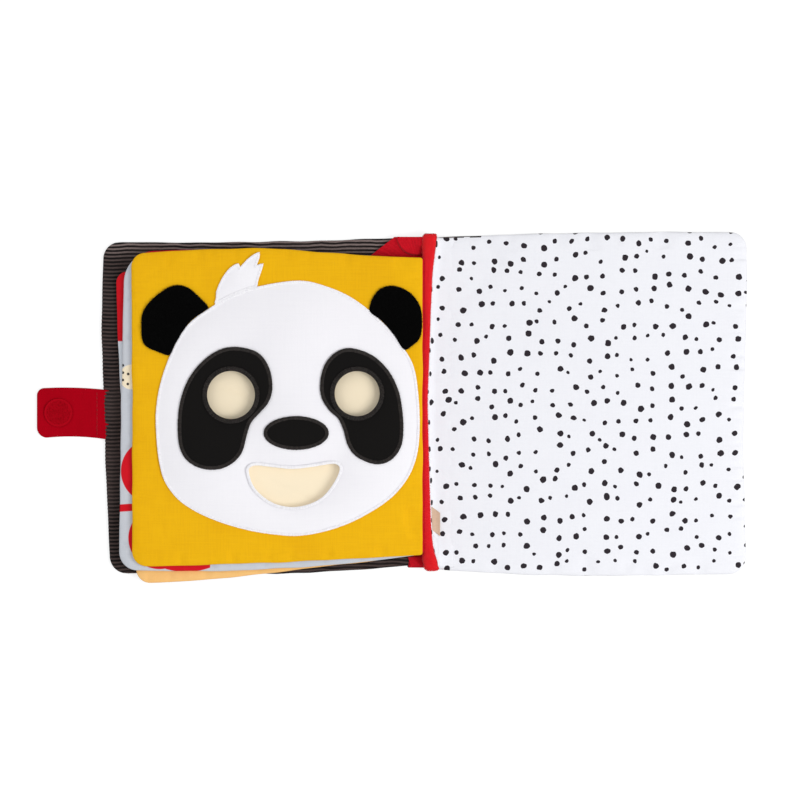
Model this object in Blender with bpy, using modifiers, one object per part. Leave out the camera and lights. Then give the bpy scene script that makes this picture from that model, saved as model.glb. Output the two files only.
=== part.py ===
"""Crinkle cloth book, lying open at its last spread.

Two padded corduroy covers and three padded leaves turn on one bound spine. The top leaf is a
mask with peep holes, and a strap folds over the fore edge to keep the closed book shut.
Metres and degrees. +X runs from the spine to the dotted cover, +Y to the head of the pages and
+Z up from the table. The origin is under the spine, half way up the book.
"""

import math

import bmesh
import bpy
from mathutils import Matrix, Vector

# Cloth, padding and clearances
clearance = 0.0003
corduroy_thickness = 0.0009
lining_thickness = 0.0005
cotton_thickness = 0.00045
applique_thickness = 0.0004
film_thickness = 0.00025
plush_thickness = 0.0018
lie_gap = 0.00035

# Covers: "over" is how far a corner stands past half the book's height
half_height = 0.1
cover_thickness = 0.0036
cover_root = 0.006
cover_spine_top_over = 0.0003
cover_spine_bottom_over = -0.0013
cover_edge_rise = 0.006
cover_corner_radius = 0.0095
cover_drawn_in = 0.0005
cover_width = 0.1938
left_cover_short_bottom = 0.0043
left_cover_edge_top_over = -0.0028
left_cover_edge_bottom_over = 0.0017
right_cover_short_top = 0.0021
right_cover_short_bottom = 0.003
right_cover_edge_top_over = 0.0036
right_cover_edge_bottom_over = 0.0029

# Leaves, from the lowest to the mask
leaf_thickness = 0.003
leaf_edge_rise = 0.005
leaf_corner_radius = 0.0065
leaf_spine_bottom_over = -0.0095
leaf_1_width_top = 0.1855
leaf_1_width_bottom = 0.1735
leaf_1_spine_top_over = -0.0155
leaf_1_edge_top_over = -0.0205
leaf_1_edge_bottom_over = 0.0075
leaf_1_bulge = 0.0015
leaf_2_width_top = 0.1745
leaf_2_width_bottom = 0.1845
leaf_2_spine_top_over = -0.0125
leaf_2_edge_top_over = -0.0075
leaf_2_edge_bottom_over = 0.0005
leaf_2_bulge = 0.0025
leaf_3_width_top = 0.1768
leaf_3_width_bottom = 0.1762
leaf_3_spine_top_over = -0.0117
leaf_3_edge_top_over = -0.0092
leaf_3_edge_bottom_over = -0.0015
leaf_3_bulge = 0.0035
spine_corner_radius = 0.0015

# Bound spine
binding_radius = 0.0015
tail_width = 0.0007
tail_overlap = 0.0008
wall_thickness = 0.0006
wall_bend = 0.0016
tape_thickness = 0.0006
tape_least = 0.0012
fold_height = 0.0006
top_fold_reach = 0.033
top_fold_crest = 0.019
bottom_fold_reach = 0.0126

# Strap
strap_thickness = 0.0012
strap_width = 0.0303
strap_middle = -0.0052
strap_length = 0.0418
strap_edge = 0.0003
strap_top_radius = 0.004
strap_bottom_radius = 0.0075
disc_radius = 0.0085
disc_thickness = 0.0006
loop_disc_thickness = 0.0004
disc_lift = 0.0001
disc_inset = 0.0012

# Mask on the top leaf: places are from the origin, seen from above
face_middle_x = -0.0828
face_middle_y = -0.0126
face_half_width = 0.0787
face_height_above = 0.0861
face_height_below = 0.0663
left_eye_x = -0.1169
left_eye_y = 0.0054
left_eye_radius = 0.0144
left_patch_x = -0.1204
left_patch_y = -0.0028
left_patch_length = 0.0388
left_patch_width = 0.0247
left_patch_lean = 63.0
right_eye_x = -0.0413
right_eye_y = 0.0062
right_eye_radius = 0.0135
right_patch_x = -0.0388
right_patch_y = -0.0013
right_patch_length = 0.0361
right_patch_width = 0.0229
right_patch_lean = 110.0
stitch_width = 0.0027
sleeve_thickness = 0.0006
nose_x = -0.0778
nose_y = -0.0174
nose_half_width = 0.0194
nose_half_height = 0.01
mouth_x = -0.0789
mouth_y = -0.0384
mouth_half_width = 0.0274
mouth_depth = 0.0234
mouth_arch = 0.0012
mouth_stitch_width = 0.0022
tuft_x = -0.1266
tuft_width = 0.029
tuft_height = 0.0295
left_ear_turn = 136.87
left_ear_radius = 0.0216
right_ear_turn = 46.36
right_ear_radius = 0.0186
ear_edge_rise = 0.004

# Labels sewn into the gutter of the dotted cover
label_width = 0.0062
label_length = 0.0168
label_middle = -0.0700
label_thickness = 0.0004
care_label_width = 0.0056
care_label_length = 0.008

# Shares of the sizes above, chosen by eye
rise_shares = (0.0, 0.06, 0.22, 0.52, 1.0)
inner_rise_shares = (0.0, 0.3, 1.0)
wadding_rise_shares = (0.3, 1.0)
bottom_fold_share = 0.9
left_ear_stand_share = 0.31
right_ear_stand_share = 0.25
ear_profile_shares = ((0.125, 1.0), (0.0, 0.75), (0.0, 0.5), (0.125, 0.33), (0.5, 0.125), (1.0, 0.0))
egg_share = 0.12
face_roundness = 2.15
tuft_shares = ((0.0, 0.0), (0.03, 0.30), (0.13, 0.56), (0.28, 0.74), (0.47, 0.82), (0.45, 0.72), (0.70, 0.88),
               (0.95, 1.0), (0.86, 0.80), (1.0, 0.78), (0.92, 0.58), (0.86, 0.42))
tuft_root_shares = (0.86, 0.65, 0.43, 0.2)

# Ends of the spine, which the pages and the binding share
cover_spine_top = half_height + cover_spine_top_over
cover_spine_bottom = half_height + cover_spine_bottom_over
leaf_3_spine_top = half_height + leaf_3_spine_top_over
leaf_spine_bottom = half_height + leaf_spine_bottom_over

# Heights that follow from the stack of cloth
leaf_count = 3
half_cover = cover_thickness / 2
half_leaf = leaf_thickness / 2
seam_gap = clearance / 2
weld_distance = clearance / 30
leaf_pitch = leaf_thickness + lie_gap
leaf_middles = [cover_thickness + lie_gap + half_leaf + below * leaf_pitch for below in range(leaf_count)]
mask_top = leaf_middles[-1] + half_leaf
face_low = mask_top + clearance
patch_low = face_low + applique_thickness + clearance
rim_low = patch_low + applique_thickness + clearance
ear_top = face_low + plush_thickness
relief_top = max(rim_low + applique_thickness, ear_top)
closed_thickness = relief_top + lie_gap + cover_thickness
axis_height = closed_thickness / 2
leaf_root = binding_radius + clearance + tape_least

# Parts go in one collection, cutters in another
parts = bpy.data.collections.new("crinkle_cloth_book")
cutters = bpy.data.collections.new("cutters")


def srgb(red, green, blue):
    """Linear colour of an 8-bit screen colour."""
    def linear(level):
        value = level / 255
        return value / 12.92 if value <= 0.04045 else ((value + 0.055) / 1.055) ** 2.4
    return (linear(red), linear(green), linear(blue), 1.0)


def cloth(name, colour, roughness=0.9):
    material = bpy.data.materials.new(name)
    material.use_nodes = True
    shader = material.node_tree.nodes["Principled BSDF"]
    shader.inputs["Base Color"].default_value = colour
    shader.inputs["Roughness"].default_value = roughness
    shader.inputs["Metallic"].default_value = 0.0
    material.diffuse_color = colour
    return material


def make_materials():
    return {
        "corduroy": cloth("corduroy", srgb(44, 38, 38), 0.95),
        "dotted": cloth("dotted_cotton", srgb(242, 242, 246)),
        "yellow": cloth("yellow_cotton", srgb(240, 184, 26)),
        "white": cloth("white_cotton", srgb(244, 242, 245)),
        "print": cloth("printed_cotton", srgb(226, 228, 232)),
        "peach": cloth("peach_cotton", srgb(240, 190, 132)),
        "red": cloth("red_cotton", srgb(172, 10, 26)),
        "black": cloth("black_satin", srgb(30, 26, 25), 0.55),
        "plush": cloth("black_plush", srgb(14, 12, 12), 1.0),
        "wadding": cloth("wadding", srgb(235, 235, 232), 1.0),
        "film": cloth("crinkle_film", srgb(200, 205, 210), 0.25),
        "hook": cloth("hook_and_loop", srgb(150, 8, 22), 0.8),
        "label": cloth("woven_label", srgb(214, 178, 155)),
    }


def add_object(name, mesh, material):
    obj = bpy.data.objects.new(name, mesh)
    mesh.materials.clear()
    mesh.materials.append(material)
    parts.objects.link(obj)
    return obj


def shade(obj, angle=40.0):
    obj.data.shade_smooth()
    obj.data.set_sharp_from_angle(angle=math.radians(angle))
    return obj


def loft(name, rings, material, closed=False):
    """Solid through rings of points: capped at both ends, or joined end to end when closed."""
    bm = bmesh.new()
    loops = [[bm.verts.new(point) for point in ring] for ring in rings]
    pairs = list(zip(loops, loops[1:]))
    if closed:
        pairs.append((loops[-1], loops[0]))
    else:
        bm.faces.new(loops[0])
        bm.faces.new(loops[-1])
    for low, high in pairs:
        for here in range(len(low)):
            after = (here + 1) % len(low)
            bm.faces.new((low[here], low[after], high[after], high[here]))
    bmesh.ops.recalc_face_normals(bm, faces=bm.faces)
    mesh = bpy.data.meshes.new(name)
    bm.to_mesh(mesh)
    bm.free()
    return shade(add_object(name, mesh, material))


class Panel:
    """Four-cornered piece of cloth with rounded corners and slightly bowed edges."""

    def __init__(self, corners, radii, bows, arc_steps, edge_steps):
        self.corners = [Vector(corner) for corner in corners]
        self.radii = radii
        self.bows = bows
        self.arc_steps = arc_steps
        self.edge_steps = edge_steps

    def inset_corners(self, inset):
        middle = sum(self.corners, Vector((0, 0))) / len(self.corners)
        count = len(self.corners)
        normals = []
        for here in range(count):
            along = self.corners[(here + 1) % count] - self.corners[here]
            normal = Vector((-along.y, along.x)).normalized()
            inward = middle - self.corners[here]
            normals.append(normal if normal.dot(inward) > 0 else -normal)
        moved = []
        for here, corner in enumerate(self.corners):
            before, after = normals[here - 1], normals[here]
            moved.append(corner + (before + after) * inset / (1 + before.dot(after)))
        return moved, normals

    def outline(self, inset=0.0):
        corners, normals = self.inset_corners(inset)
        count = len(corners)
        arcs = []
        for here, corner in enumerate(corners):
            radius = max(self.radii[here] - inset, clearance)
            back = (corners[here - 1] - corner).normalized()
            ahead = (corners[(here + 1) % count] - corner).normalized()
            half = back.angle(ahead) / 2
            centre = corner + (back + ahead).normalized() * radius / math.sin(half)
            start = corner + back * radius / math.tan(half) - centre
            finish = corner + ahead * radius / math.tan(half) - centre
            turn = start.angle_signed(finish)
            steps = self.arc_steps[here]
            arcs.append([centre + Matrix.Rotation(-turn * step / steps, 2) @ start
                         for step in range(steps + 1)])
        points = []
        for here in range(count):
            points += arcs[here]
            first, last = arcs[here][-1], arcs[(here + 1) % count][0]
            steps = self.edge_steps[here]
            for step in range(1, steps):
                share = step / steps
                bow = 4 * share * (1 - share) * self.bows[here]
                points.append(first.lerp(last, share) - normals[here] * bow)
        return points

    def ring(self, inset, height):
        return [(point.x, point.y, height) for point in self.outline(inset)]

    def edge_x(self, y):
        """Where the fore edge crosses a height on the page."""
        top, bottom = self.corners[1], self.corners[2]
        return top.lerp(bottom, (top.y - y) / (top.y - bottom.y)).x


def page_panel(side, root, widths, spine_over, edge_over, radius, bulge):
    """Panel on one side of the spine, its corners in order from the spine's head."""
    spine_top, spine_bottom, edge_top, edge_bottom = [half_height + over for over in spine_over + edge_over]
    corners = ((side * root, spine_top), (side * widths[0], edge_top),
               (side * widths[1], -edge_bottom), (side * root, -spine_bottom))
    radii = (spine_corner_radius, radius, radius, spine_corner_radius)
    bows = (bulge, min(bulge, 0), bulge, 0)
    return Panel(corners, radii, bows, (2, 5, 5, 2), (6, 5, 6, 3))


def make_panels():
    cover_spine = (cover_spine_top_over, cover_spine_bottom_over)
    left_widths = (cover_width, cover_width - left_cover_short_bottom)
    right_widths = (cover_width - right_cover_short_top, cover_width - right_cover_short_bottom)
    left = page_panel(-1, cover_root, left_widths, cover_spine,
                      (left_cover_edge_top_over, left_cover_edge_bottom_over), cover_corner_radius,
                      -cover_drawn_in)
    right = page_panel(1, cover_root, right_widths, cover_spine,
                       (right_cover_edge_top_over, right_cover_edge_bottom_over), cover_corner_radius,
                       -cover_drawn_in)
    leaves = []
    for widths, spine_over, edge_over, bulge in (
            ((leaf_1_width_top, leaf_1_width_bottom), leaf_1_spine_top_over,
             (leaf_1_edge_top_over, leaf_1_edge_bottom_over), leaf_1_bulge),
            ((leaf_2_width_top, leaf_2_width_bottom), leaf_2_spine_top_over,
             (leaf_2_edge_top_over, leaf_2_edge_bottom_over), leaf_2_bulge),
            ((leaf_3_width_top, leaf_3_width_bottom), leaf_3_spine_top_over,
             (leaf_3_edge_top_over, leaf_3_edge_bottom_over), leaf_3_bulge)):
        leaves.append(page_panel(-1, leaf_root, widths, (spine_over, leaf_spine_bottom_over), edge_over,
                                 leaf_corner_radius, bulge))
    return left, right, leaves


def rise(shares, first, width, rim, roof):
    """Insets and heights up the drawn-in edge of a cushion, a quarter of an ellipse."""
    return [(first + (width - first) * share, rim + (roof - rim) * math.sqrt(1 - (1 - share) ** 2))
            for share in shares]


def skin(name, panel, middle, half, width, thickness, side, material):
    """Cloth over one side of a cushion: a shallow dish that ends at the seam."""
    outside = rise(rise_shares, 0, width, seam_gap, half)
    inside = rise(inner_rise_shares, thickness, width, seam_gap, half - thickness)
    profile = outside[::-1] + inside
    rings = [panel.ring(inset, middle + side * height) for inset, height in profile]
    return loft(name, rings, material)


def wadding(name, panel, middle, half, width, cloth_around, cloth_above, low, material):
    """Padding that follows the cloth above it, down to the flat cloth or film at its foot."""
    roof = half - cloth_above - clearance
    over = rise(wadding_rise_shares, cloth_around, width, seam_gap - clearance, roof)
    under = rise(wadding_rise_shares, cloth_around, width, seam_gap - clearance, middle - low)
    rings = [panel.ring(inset, middle - height) for inset, height in under[::-1]]
    rings += [panel.ring(inset, middle + height) for inset, height in over]
    return loft(name, rings, material)


def slab(name, panel, low, high, edge, material):
    """Flat cloth with its long edges rubbed round."""
    rings = [panel.ring(edge, low), panel.ring(0, low + edge), panel.ring(0, high - edge),
             panel.ring(edge, high)]
    return loft(name, rings, material)


def flat_piece(name, outlines, thickness, low, material):
    """Flat cloth cut to the first outline, with the other outlines as holes."""
    curve = bpy.data.curves.new(name, "CURVE")
    curve.dimensions = "2D"
    curve.fill_mode = "BOTH"
    curve.extrude = thickness / 2
    for outline in outlines:
        spline = curve.splines.new("POLY")
        spline.points.add(len(outline) - 1)
        for point, place in zip(spline.points, outline):
            point.co = (place[0], place[1], 0, 1)
        spline.use_cyclic_u = True
    curve.materials.append(material)
    obj = bpy.data.objects.new(name, curve)
    obj.location.z = low + thickness / 2
    parts.objects.link(obj)
    return obj


def profile_along_spine(name, outline, top, bottom, material):
    """Outline in X and Z, drawn out along the spine."""
    obj = flat_piece(name, [outline], top + bottom, 0, material)
    obj.rotation_euler.x = math.radians(90)
    obj.location = (0, (top - bottom) / 2, axis_height)
    return obj


def arc(centre, radius, start, finish, steps):
    angles = [math.radians(start + (finish - start) * step / steps) for step in range(steps + 1)]
    return [(centre[0] + radius * math.cos(angle), centre[1] + radius * math.sin(angle)) for angle in angles]


def circle(x, y, radius, steps):
    return arc((x, y), radius, 0, 360 - 360 / steps, steps - 1)


def moved_out(outline, distance):
    """Outline with every edge moved outwards, for outlines that run anticlockwise."""
    points = [Vector(point) for point in outline]
    moved = []
    for here, point in enumerate(points):
        before = (point - points[here - 1]).normalized()
        after = (points[(here + 1) % len(points)] - point).normalized()
        first, second = Vector((before.y, -before.x)), Vector((after.y, -after.x))
        moved.append(point + (first + second) * distance / (1 + first.dot(second)))
    return moved


def make_body(name, pivot):
    """Empty on a joint's axis that carries the pieces of one moving body."""
    empty = bpy.data.objects.new(name, None)
    empty.location = pivot
    parts.objects.link(empty)
    return empty


def carry(body, pieces):
    for piece in pieces:
        piece.location -= body.location
        piece.parent = body


def binding_drop():
    """Depth under the hinge line where a wall clears the root tape of the lowest leaf."""
    seam = Vector((-leaf_root, leaf_middles[0] - axis_height)).normalized()
    wall_face = tail_width / 2 + clearance + wall_thickness
    return (tape_thickness / 2 + clearance - seam.y * wall_face) / -seam.x


def make_binding(red):
    """Roll of binding tape on the hinge line, with its stitched tail hanging under it."""
    half_tail = tail_width / 2
    opening = math.degrees(math.asin(half_tail / binding_radius))
    outline = arc((0, 0), binding_radius, -90 + opening, 270 - opening, 18)
    depth = binding_drop() + tail_overlap
    outline += [(-half_tail, -depth), (half_tail, -depth)]
    return profile_along_spine("spine_binding", outline, cover_spine_top, cover_spine_bottom, red)


def make_wall(name, side, material):
    """Cloth from the binding's tail down to the seam of a cover."""
    inner = tail_width / 2 + clearance
    outer = inner + wall_thickness
    floor = half_cover - axis_height
    bend = (outer + wall_bend, floor + wall_bend + wall_thickness / 2)
    foot = cover_root - clearance
    outline = [(outer, -binding_drop())]
    outline += arc(bend, wall_bend, 180, 270, 5)
    outline += [(foot, floor + wall_thickness / 2), (foot, floor - wall_thickness / 2)]
    outline += arc(bend, wall_bend + wall_thickness, 270, 180, 5)
    outline += [(inner, -binding_drop())]
    outline = [(side * x, z) for x, z in outline]
    return profile_along_spine(name, outline, cover_spine_top, cover_spine_bottom, material)


def make_spine(materials):
    half_strip = cover_root - clearance
    strip = Panel(((half_strip, cover_spine_top), (-half_strip, cover_spine_top),
                   (-half_strip, -cover_spine_bottom), (half_strip, -cover_spine_bottom)),
                  (spine_corner_radius,) * 4, (0, 0, 0, 0), (2, 2, 2, 2), (2, 4, 2, 4))
    edge = corduroy_thickness / 4
    fold_low = cover_thickness + clearance
    wall_face = tail_width / 2 + clearance * 2 + wall_thickness
    top_low = leaf_3_spine_top + clearance
    top_fold = [(-wall_face, top_low), (-wall_face, cover_spine_top), (-top_fold_crest, cover_spine_top),
                (-top_fold_reach, top_low)]
    bottom_low = leaf_spine_bottom + leaf_3_bulge
    bottom_fold = [(-wall_face, -cover_spine_bottom), (-wall_face, -bottom_low),
                   (-bottom_fold_reach, -bottom_low),
                   (-bottom_fold_reach * bottom_fold_share, -cover_spine_bottom)]
    return [
        slab("spine_strip", strip, 0, corduroy_thickness, edge, materials["corduroy"]),
        make_binding(materials["red"]),
        make_wall("spine_wall_left", -1, materials["red"]),
        flat_piece("lining_fold_top", [top_fold], fold_height, fold_low, materials["red"]),
        flat_piece("lining_fold_bottom", [bottom_fold], fold_height, fold_low, materials["red"]),
    ]


def make_cover(side_name, panel, lining_name, lining, lining_cloth, materials):
    low = corduroy_thickness + clearance
    return [
        skin(side_name + "_outer", panel, half_cover, half_cover, cover_edge_rise, corduroy_thickness, -1,
             materials["corduroy"]),
        skin(lining_name, panel, half_cover, half_cover, cover_edge_rise, lining, 1, lining_cloth),
        wadding(side_name + "_wadding", panel, half_cover, half_cover, cover_edge_rise, corduroy_thickness,
                lining, low, materials["wadding"]),
    ]


def make_leaf(number, panel, front, back, materials):
    name = f"leaf_{number}"
    middle = leaf_middles[number - 1]
    film_low = middle - half_leaf + cotton_thickness + clearance
    wadding_low = film_low + film_thickness + clearance
    film = loft(name + "_film", [panel.ring(leaf_edge_rise, film_low),
                                 panel.ring(leaf_edge_rise, film_low + film_thickness)], materials["film"])
    cushion = wadding(name + "_wadding", panel, middle, half_leaf, leaf_edge_rise, cotton_thickness,
                      cotton_thickness, wadding_low, materials["wadding"])
    return {
        "front": skin(name + "_front", panel, middle, half_leaf, leaf_edge_rise, cotton_thickness, 1, front),
        "back": skin(name + "_back", panel, middle, half_leaf, leaf_edge_rise, cotton_thickness, -1, back),
        "film": film,
        "wadding": cushion,
        "tape": make_root_tape(name, panel, middle, materials["red"]),
    }


def make_root_tape(name, panel, middle, red):
    """Tape that ties a leaf's spine seam to the binding, pointing at the hinge line."""
    seam = Vector((-leaf_root, middle - axis_height))
    near = binding_radius + clearance
    far = seam.length - clearance - tape_thickness / 2
    top, bottom = panel.corners[0].y - spine_corner_radius, -panel.corners[3].y - spine_corner_radius
    bpy.ops.mesh.primitive_cube_add(size=1)
    tape = bpy.context.active_object
    tape.name = name + "_root_tape"
    tape.data.transform(Matrix.Diagonal((far - near, top + bottom, tape_thickness, 1)))
    place = seam.normalized() * (near + far) / 2
    tape.location = (place.x, (top - bottom) / 2, axis_height + place.y)
    tape.rotation_euler.y = -math.atan2(seam.y, seam.x)
    tape.data.materials.append(red)
    return take_in(tape, parts)


def face_outline():
    """Round face, fuller in the cheeks: two half superellipses that meet at its widest line."""
    points = []
    for step in range(56):
        angle = math.tau * step / 56
        height = face_height_above if math.sin(angle) > 0 else face_height_below
        across = math.copysign(abs(math.cos(angle)) ** (2 / face_roundness), math.cos(angle))
        up = math.copysign(abs(math.sin(angle)) ** (2 / face_roundness), math.sin(angle))
        points.append((face_middle_x + face_half_width * across, face_middle_y + height * up))
    return points


def patch_outline(x, y, length, width, lean):
    """Leaning egg, its fuller end low."""
    points = []
    tilt = math.radians(lean)
    for step in range(36):
        angle = math.tau * step / 36
        along = length * math.cos(angle)
        across = width * math.sin(angle) * (1 - egg_share * math.cos(angle))
        points.append((x + along * math.cos(tilt) - across * math.sin(tilt),
                       y + along * math.sin(tilt) + across * math.cos(tilt)))
    return points


def mouth_outline():
    """Smile: a half ellipse under an almost straight upper lip."""
    points = []
    for step in range(13):
        angle = math.pi * step / 12
        points.append((mouth_x - mouth_half_width * math.cos(angle), mouth_y - mouth_depth * math.sin(angle)))
    for step in range(1, 6):
        share = 1 - step / 3
        points.append((mouth_x + mouth_half_width * share, mouth_y + mouth_arch * (1 - share * share)))
    return points


def tuft_outline():
    """Three-pointed lock of hair that rises from the top of the face."""
    def root(x):
        return face_top_at(x) + clearance * 2
    base = root(tuft_x)
    points = [(tuft_x + tuft_width * across, base + tuft_height * up) for across, up in tuft_shares]
    for share in tuft_root_shares:
        x = tuft_x + tuft_width * share
        points.append((x, root(x)))
    return points


def face_top_at(x):
    share = abs(x - face_middle_x) / face_half_width
    return face_middle_y + face_height_above * (1 - share ** face_roundness) ** (1 / face_roundness)


def eye_places():
    return ((left_eye_x, left_eye_y, left_eye_radius), (right_eye_x, right_eye_y, right_eye_radius))


def make_eye_rim(name, x, y, radius, black):
    """Bound edge of an eye hole: a sleeve through the leaf with a stitched flange on the patch."""
    low = mask_top - leaf_thickness
    high = rim_low + applique_thickness
    flange, sleeve = radius + stitch_width, radius + sleeve_thickness
    profile = [(flange, high), (flange, rim_low), (sleeve, rim_low), (sleeve, low), (radius, low),
               (radius, high)]
    mesh = bpy.data.meshes.new(name)
    edges = [(here, (here + 1) % len(profile)) for here in range(len(profile))]
    mesh.from_pydata([(reach, 0, height) for reach, height in profile], edges, [])
    rim = add_object(name, mesh, black)
    rim.location = (x, y, 0)
    screw = rim.modifiers.new("turn", "SCREW")
    screw.angle = math.tau
    screw.steps = screw.render_steps = 32
    screw.use_merge_vertices = True
    screw.merge_threshold = weld_distance
    return rim


def make_mouth_rim(white):
    outline = mouth_outline()
    low = mask_top - leaf_thickness
    high = patch_low + applique_thickness
    profile = [(0, low), (0, high), (mouth_stitch_width, high), (mouth_stitch_width, patch_low),
               (sleeve_thickness, patch_low), (sleeve_thickness, low)]
    rings = [[(point.x, point.y, height) for point in moved_out(outline, offset)] for offset, height in profile]
    return loft("mouth_rim", rings, white, closed=True)


def hole_outlines():
    """Cuts in the layers of the mask, wide enough for the sleeves of the rims."""
    room = sleeve_thickness + clearance
    eyes = [circle(x, y, radius + room, 28) for x, y, radius in eye_places()]
    return eyes + [moved_out(mouth_outline(), room)]


def cut_holes(pieces):
    """Cut the peep holes through the leaf's own layers."""
    depth = leaf_thickness * 2
    blades = []
    for number, outline in enumerate(hole_outlines()):
        blade = loft(f"hole_cutter_{number}",
                     [[(p[0], p[1], leaf_middles[-1] - depth) for p in outline],
                      [(p[0], p[1], leaf_middles[-1] + depth) for p in outline]], pieces[0].data.materials[0])
        parts.objects.unlink(blade)
        cutters.objects.link(blade)
        blade.hide_render = True
        blade.display_type = "WIRE"
        blades.append(blade)
    for piece in pieces:
        for blade in blades:
            cut = piece.modifiers.new("hole", "BOOLEAN")
            cut.operation = "DIFFERENCE"
            cut.solver = "EXACT"
            cut.object = blade


def make_face(materials):
    white, black = materials["white"], materials["black"]
    left_hole, right_hole, mouth_hole = hole_outlines()
    left_patch = patch_outline(left_patch_x, left_patch_y, left_patch_length, left_patch_width,
                               left_patch_lean)
    right_patch = patch_outline(right_patch_x, right_patch_y, right_patch_length, right_patch_width,
                                right_patch_lean)
    nose = [(nose_x + nose_half_width * math.cos(math.tau * step / 32),
             nose_y + nose_half_height * math.sin(math.tau * step / 32)) for step in range(32)]
    pieces = [
        flat_piece("face", [face_outline(), left_hole, right_hole, mouth_hole], applique_thickness,
                   face_low, white),
        flat_piece("hair_tuft", [tuft_outline()], applique_thickness, face_low, white),
        flat_piece("eye_patch_left", [left_patch, left_hole], applique_thickness, patch_low, black),
        flat_piece("eye_patch_right", [right_patch, right_hole], applique_thickness, patch_low, black),
        flat_piece("nose", [nose], applique_thickness, patch_low, black),
        make_mouth_rim(white),
    ]
    for name, place in zip(("eye_rim_left", "eye_rim_right"), eye_places()):
        pieces.append(make_eye_rim(name, *place, black))
    return pieces


def make_ear(side, turn, radius, stand_share, plush):
    """Plush flap: a crowned disc cut straight where it is sewn along the edge of the face."""
    middle = Vector((face_middle_x, face_middle_y))
    outward = Vector((math.cos(math.radians(turn)), math.sin(math.radians(turn))))
    seam = max((Vector(point) - middle).dot(outward) for point in face_outline()) + clearance
    start = -math.degrees(math.asin(stand_share))
    outline = arc((0, radius * stand_share), radius, start, 180 - start, 22)
    steps = 4
    half_seam = outline[0][0]
    outline += [(-half_seam + 2 * half_seam * step / steps, 0) for step in range(1, steps)]
    rings = []
    for inset, drop in ear_profile_shares:
        ring = moved_out(outline, -ear_edge_rise * inset)
        rings.append([(point.x, point.y, -plush_thickness * drop) for point in ring])
    ear = loft(f"ear_{side}", rings, plush)
    origin = middle + outward * seam
    ear.location = (origin.x, origin.y, ear_top)
    ear.rotation_euler.z = math.radians(turn - 90)
    return ear


def strap_fold_length():
    """Riser long enough to stand past the closed book and both hook-and-loop discs."""
    fold_plane = closed_thickness + clearance * 2 + disc_thickness + clearance
    return fold_plane - (half_cover + strap_thickness / 2) - clearance / 2


def strap_places(left, right):
    """Where the strap starts, folds, carries its disc and ends, from right to left."""
    top, bottom = strap_middle + strap_width / 2, strap_middle - strap_width / 2
    edge_x = min(left.edge_x(top), left.edge_x(bottom), -right.edge_x(top)) - clearance
    fold_x = edge_x - strap_fold_length() - clearance / 2
    disc_x = fold_x - strap_edge - disc_inset - disc_radius
    return edge_x, fold_x, disc_x, edge_x - strap_length


def make_strap(left, right, materials):
    """Strap in two bodies: a riser for the fore edge and an end that lies on the closed cover."""
    edge_x, fold_x, disc_x, tip_x = strap_places(left, right)
    top, bottom = strap_middle + strap_width / 2, strap_middle - strap_width / 2
    low, high = half_cover - strap_thickness / 2, half_cover + strap_thickness / 2
    before, after = fold_x + clearance / 2, fold_x - clearance / 2
    riser = Panel(((edge_x, top), (before, top), (before, bottom), (edge_x, bottom)),
                  (strap_edge,) * 4, (0, 0, 0, 0), (1, 1, 1, 1), (3, 3, 3, 3))
    end = Panel(((after, top), (tip_x, top), (tip_x, bottom), (after, bottom)),
                (strap_edge, strap_top_radius, strap_bottom_radius, strap_edge), (0, 0, 0, 0),
                (1, 5, 6, 1), (3, 3, 3, 3))
    riser_body = make_body("strap_riser_hinge", (edge_x, strap_middle, high))
    end_body = make_body("strap_end_hinge", (fold_x, strap_middle, high))
    carry(end_body, [
        slab("strap_end", end, low, high, strap_edge, materials["red"]),
        make_disc("hook_disc", disc_x, high + clearance, disc_thickness, disc_radius, materials["hook"]),
    ])
    carry(riser_body, [slab("strap_riser", riser, low, high, strap_edge, materials["red"]), end_body])


def take_in(obj, collection):
    for holder in obj.users_collection:
        holder.objects.unlink(obj)
    collection.objects.link(obj)
    return obj


def make_disc(name, x, low, thickness, radius, material):
    bpy.ops.mesh.primitive_cylinder_add(vertices=32, radius=radius, depth=thickness)
    disc = bpy.context.active_object
    disc.name = name
    disc.location = (x, strap_middle, low + thickness / 2)
    disc.data.materials.append(material)
    return take_in(disc, parts)


def make_loop_disc(outer_cloth, left, right, materials):
    """Loop disc let into the outside of the dotted cover, where the strap's disc meets it."""
    edge_x, fold_x, disc_x, tip_x = strap_places(left, right)
    x = -(edge_x + fold_x - disc_x)
    depth = disc_lift + loop_disc_thickness + clearance
    recess = make_disc("loop_recess", x, -depth, depth * 2, disc_radius + clearance, materials["corduroy"])
    take_in(recess, cutters)
    recess.hide_render = True
    recess.display_type = "WIRE"
    cut = outer_cloth.modifiers.new("recess", "BOOLEAN")
    cut.operation = "DIFFERENCE"
    cut.solver = "EXACT"
    cut.object = recess
    return make_disc("loop_disc", x, disc_lift, loop_disc_thickness, disc_radius, materials["hook"])


def make_labels(materials):
    """Woven label and the end of a care label, both sewn into the gutter."""
    low = cover_thickness + clearance
    root = tail_width / 2 + wall_thickness + clearance * 2
    top, bottom = label_middle + label_length / 2, label_middle - label_length / 2
    woven = [(root, bottom), (root + label_width, bottom), (root + label_width, top), (root, top)]
    care_top = bottom - clearance
    care_bottom = care_top - care_label_length
    care = [(root, care_bottom), (root + care_label_width, care_bottom), (root + care_label_width, care_top),
            (root, care_top)]
    return [flat_piece("woven_label", [woven], label_thickness, low, materials["label"]),
            flat_piece("care_label", [care], label_thickness, low, materials["white"])]


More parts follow.
